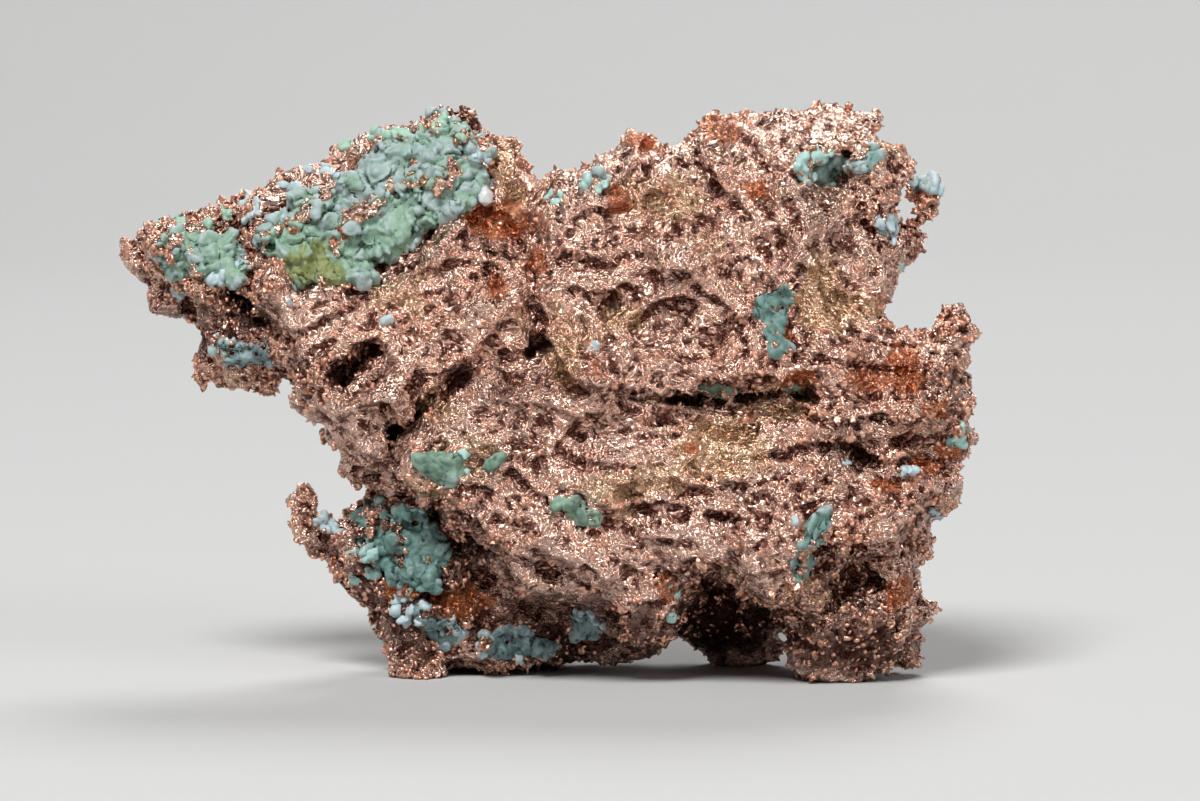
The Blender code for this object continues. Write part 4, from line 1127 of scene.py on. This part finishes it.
def loose_grains(slot, copper, settings, rng):
    """Single grains that sit on the copper: on the front where the list of areas puts them,
    and round the crusts of the back."""
    found = []

    def drop(x, z, half_width, half_height, side, turn, reach, radius):
        place, normal = cast(copper, x + reach * half_width * math.cos(turn),
                             z + reach * half_height * math.sin(turn), side)
        if place is not None:
            found.append((place[:], normal[:], radius))

    for *area, count, largest in LOOSE_GRAINS[slot]:
        for _ in range(count):
            drop(*area, -1, rng.uniform(0, math.tau), math.sqrt(rng.uniform(0, 1)),
                 largest * rng.uniform(0.55, 1.0))
    for node in sorted(frame["nodes"]):
        if not node.startswith("back_") or node_slot(node) != slot:
            continue
        points = points_of(frame["nodes"][node].data)
        middle, half = (points.max(axis=0) + points.min(axis=0)) / 2, np.ptp(points, axis=0) / 2
        for _ in range(BACK_GRAINS):
            drop(middle[0], middle[2], half[0], half[2], 1, rng.uniform(0, math.tau),
                 rng.uniform(0.7, 1.4), rng.uniform(0.35, 0.75))
    centres, axes, radii = map(np.array, zip(*found))
    frames = frames_along(axes + 0.9 * rng.normal(size=axes.shape), rng,
                          radii * rng.uniform(0.8, 1.35, len(radii)), radii)
    centres -= axes * radii[:, None] * 0.2
    name = "loose_" + slot.replace("_crust", "_grains")
    grains = link(name, many_lumps(name, centres, frames, rng, 0.36))
    # The 0.4 is painted shade that darkens all the loose grains.
    grain_surface(grains, settings, 0.6, 0.4)
    grains.data.name = name
    return grains


def white_crystal(copper):
    """One milky crystal in the angle between the arm and the broad face."""
    rng = np.random.default_rng(61)
    x, z, radius = CRYSTAL_PLACE
    around = [cast(copper, x + side * radius, z + up * radius)[0]
              for side in (-0.7, 0, 0.7) for up in (-0.7, 0, 0.7)]
    front = min(place.y for place in around if place is not None)
    centre = np.array([(x, front - 0.2 * radius, z)])
    frames = radius * np.array([((1.0, 0.1, 0.0), (0.0, 0.9, 0.1), (-0.15, 0.1, 1.1))])
    crystal = link("white_crystal", many_lumps("white_crystal", centre, frames, rng, 0.1))
    modify(crystal, "BEVEL", width=0.10 * radius * MM, segments=2, limit_method="NONE")
    return crystal


# ---------------------------------------------------------------- stage
def make_floor(settings):
    """A round floor whose rim sweeps up into a backdrop on every side."""
    disc = bmesh.new()
    bmesh.ops.create_circle(disc, cap_ends=True, segments=96, radius=FLOOR_REACH)
    rim = [edge for edge in disc.edges if edge.is_boundary]
    for angle in np.linspace(0, math.pi / 2, 13)[1:]:
        grown = bmesh.ops.extrude_edge_only(disc, edges=rim)["geom"]
        rim = [item for item in grown if isinstance(item, bmesh.types.BMEdge)]
        radius = FLOOR_REACH + FLOOR_BEND * math.sin(angle)
        for vert in {vert for edge in rim for vert in edge.verts}:
            away = Vector((vert.co.x, vert.co.y, 0)).normalized() * radius
            vert.co = (away.x, away.y, FLOOR_BEND * (1 - math.cos(angle)))
    bmesh.ops.recalc_face_normals(disc, faces=disc.faces)
    bmesh.ops.translate(disc, vec=(0, FLOOR_MIDDLE, 0), verts=disc.verts)
    mesh = bpy.data.meshes.new("floor")
    disc.to_mesh(mesh)
    disc.free()
    mesh.polygons.foreach_set("use_smooth", [True] * len(mesh.polygons))
    floor = link("floor", mesh)
    mesh.materials.append(plain_floor(settings))


def link_aimed(name, data, place):
    """A camera or a light at that place, aimed at the middle of the view."""
    obj = link(name, data)
    obj.location = place
    aim = Vector(VIEW_MIDDLE) - obj.location
    obj.rotation_euler = aim.to_track_quat("-Z", "Y").to_euler()
    return obj


def add_light(name, place, size, power):
    light = bpy.data.lights.new(name, "AREA")
    light.shape = "DISK"
    light.size = size
    light.energy = power
    link_aimed(name, light, place)


def add_camera(settings):
    camera = bpy.data.cameras.new("camera")
    camera.lens = camera.sensor_width * settings.camera_distance / settings.view_width
    tilt = settings.camera_elevation
    away = Vector((0, -math.cos(tilt), math.sin(tilt)))
    place = Vector(VIEW_MIDDLE) + away * settings.camera_distance
    bpy.context.scene.camera = link_aimed("camera", camera, place)


# ---------------------------------------------------------------- operators
def attach(piece, material, slot, *nodes):
    """Give the piece its material, put it on its body and hide the nodes that it stands for.
    The slot is not used."""
    piece.data.materials.clear()
    piece.data.materials.append(material)
    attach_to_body(piece, BODY)
    if nodes:
        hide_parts(*nodes)


class NUGGET_OT_copper_skin(bpy.types.Operator):
    """Make the torn, crumpled copper skin"""

    bl_idname = "nugget.copper_skin"
    bl_label = "Copper skin"

    def execute(self, context):
        settings = context.scene.nugget_copper
        skin = make_copper_skin(settings)
        attach(skin, native_copper(settings), "native_copper", COPPER_NODE)
        return {"FINISHED"}


class NUGGET_OT_copper_hackle(bpy.types.Operator):
    """Scatter small grains and flakes of copper over the skin"""

    bl_idname = "nugget.copper_hackle"
    bl_label = "Copper grains and flakes"

    def execute(self, context):
        settings = context.scene.nugget_copper
        # The frame holds a plain material of this name already, and this finds that one.
        plain_copper = bpy.data.materials["native_copper"]
        for piece in (make_hackle(settings), make_flakes(settings)):
            attach(piece, plain_copper, "native_copper")
        return {"FINISHED"}


class NUGGET_OT_mineral_crusts(bpy.types.Operator):
    """Grow the crusts of waxy mineral grains"""

    bl_idname = "nugget.mineral_crusts"
    bl_label = "Mineral crusts"

    def execute(self, context):
        settings = context.scene.nugget_crust
        finishes = {
            "green_crust": waxy_mineral("green_crust", settings.green, settings, True),
            "turquoise_crust": waxy_mineral(
                "turquoise_crust", settings.turquoise, settings, False),
            "blue_grey_crust": waxy_mineral(
                "blue_grey_crust", settings.blue_grey, settings, False)}
        copper = tree_of(bpy.data.objects[SKIN_NAME])
        rng = np.random.default_rng(51)
        for node in sorted(frame["nodes"]):
            if node != COPPER_NODE:
                slot = node_slot(node)
                crust = make_crust(node, copper, settings, rng)
                attach(crust, finishes[slot], slot, node)
        return {"FINISHED"}


def node_slot(node):
    """The record's material slot of a CAD node."""
    for part in frame["record"]["subparts"]:
        if part["node"] == node:
            return part["material_slot"]
    raise RuntimeError("the record gives no material slot for the node " + node)


class NUGGET_OT_loose_grains(bpy.types.Operator):
    """Set single mineral grains and the white crystal on the copper"""

    bl_idname = "nugget.loose_grains"
    bl_label = "Loose grains"

    def execute(self, context):
        settings = context.scene.nugget_crust
        copper = tree_of(bpy.data.objects[SKIN_NAME])
        rng = np.random.default_rng(71)
        for slot in LOOSE_GRAINS:
            grains = loose_grains(slot, copper, settings, rng)
            # This finds the plain material of that name that the frame holds.
            attach(grains, bpy.data.materials[slot], slot)
        attach(white_crystal(copper), milky_crystal(settings), "blue_grey_crust")
        return {"FINISHED"}


class NUGGET_OT_stage(bpy.types.Operator):
    """Set the floor, the lights and the camera"""

    bl_idname = "nugget.stage"
    bl_label = "Stage"

    def execute(self, context):
        settings = context.scene.nugget_stage
        make_floor(settings)
        add_camera(settings)
        for light in LIGHTS:
            add_light(*light)
        world = bpy.data.worlds.new("soft_surround")
        context.scene.world = world
        world.use_nodes = True
        backdrop = world.node_tree.nodes["Background"]
        backdrop.inputs["Color"].default_value = (*settings.surround, 1)
        backdrop.inputs["Strength"].default_value = SURROUND_STRENGTH
        context.scene.view_settings.view_transform = "Standard"
        context.scene.view_settings.exposure = EXPOSURE
        return {"FINISHED"}


class NUGGET_PT_panel(bpy.types.Panel):
    """Settings and makers of the nugget"""

    bl_label = "Nugget"
    bl_idname = "NUGGET_PT_panel"
    bl_space_type = "VIEW_3D"
    bl_region_type = "UI"
    bl_category = "Nugget"

    def draw(self, context):
        for group in ("nugget_copper", "nugget_crust", "nugget_stage"):
            settings = getattr(context.scene, group)
            box = self.layout.box()
            for name in settings.__annotations__:
                box.prop(settings, name)
        for operator in OPERATORS:
            self.layout.operator(operator.bl_idname)


OPERATORS = (NUGGET_OT_copper_skin, NUGGET_OT_copper_hackle, NUGGET_OT_mineral_crusts,
             NUGGET_OT_loose_grains, NUGGET_OT_stage)
CLASSES = (CopperSettings, CrustSettings, StageSettings, *OPERATORS, NUGGET_PT_panel)
GROUPS = {"nugget_copper": CopperSettings, "nugget_crust": CrustSettings,
          "nugget_stage": StageSettings}


def register():
    for cls in CLASSES:
        bpy.utils.register_class(cls)
    for name, group in GROUPS.items():
        setattr(bpy.types.Scene, name, PointerProperty(type=group))


def unregister():
    for name in GROUPS:
        delattr(bpy.types.Scene, name)
    for cls in reversed(CLASSES):
        bpy.utils.unregister_class(cls)


def clear_scene():
    """Remove what a new file holds, but nothing of the frame."""
    kept = {*frame["nodes"].values(), *frame["bodies"].values()}
    for obj in list(bpy.data.objects):
        if obj not in kept:
            bpy.data.objects.remove(obj)


def main():
    register()
    clear_scene()
    for operator in OPERATORS:
        space, name = operator.bl_idname.split(".")
        getattr(getattr(bpy.ops, space), name)()


if __name__ == "__main__":
    main()
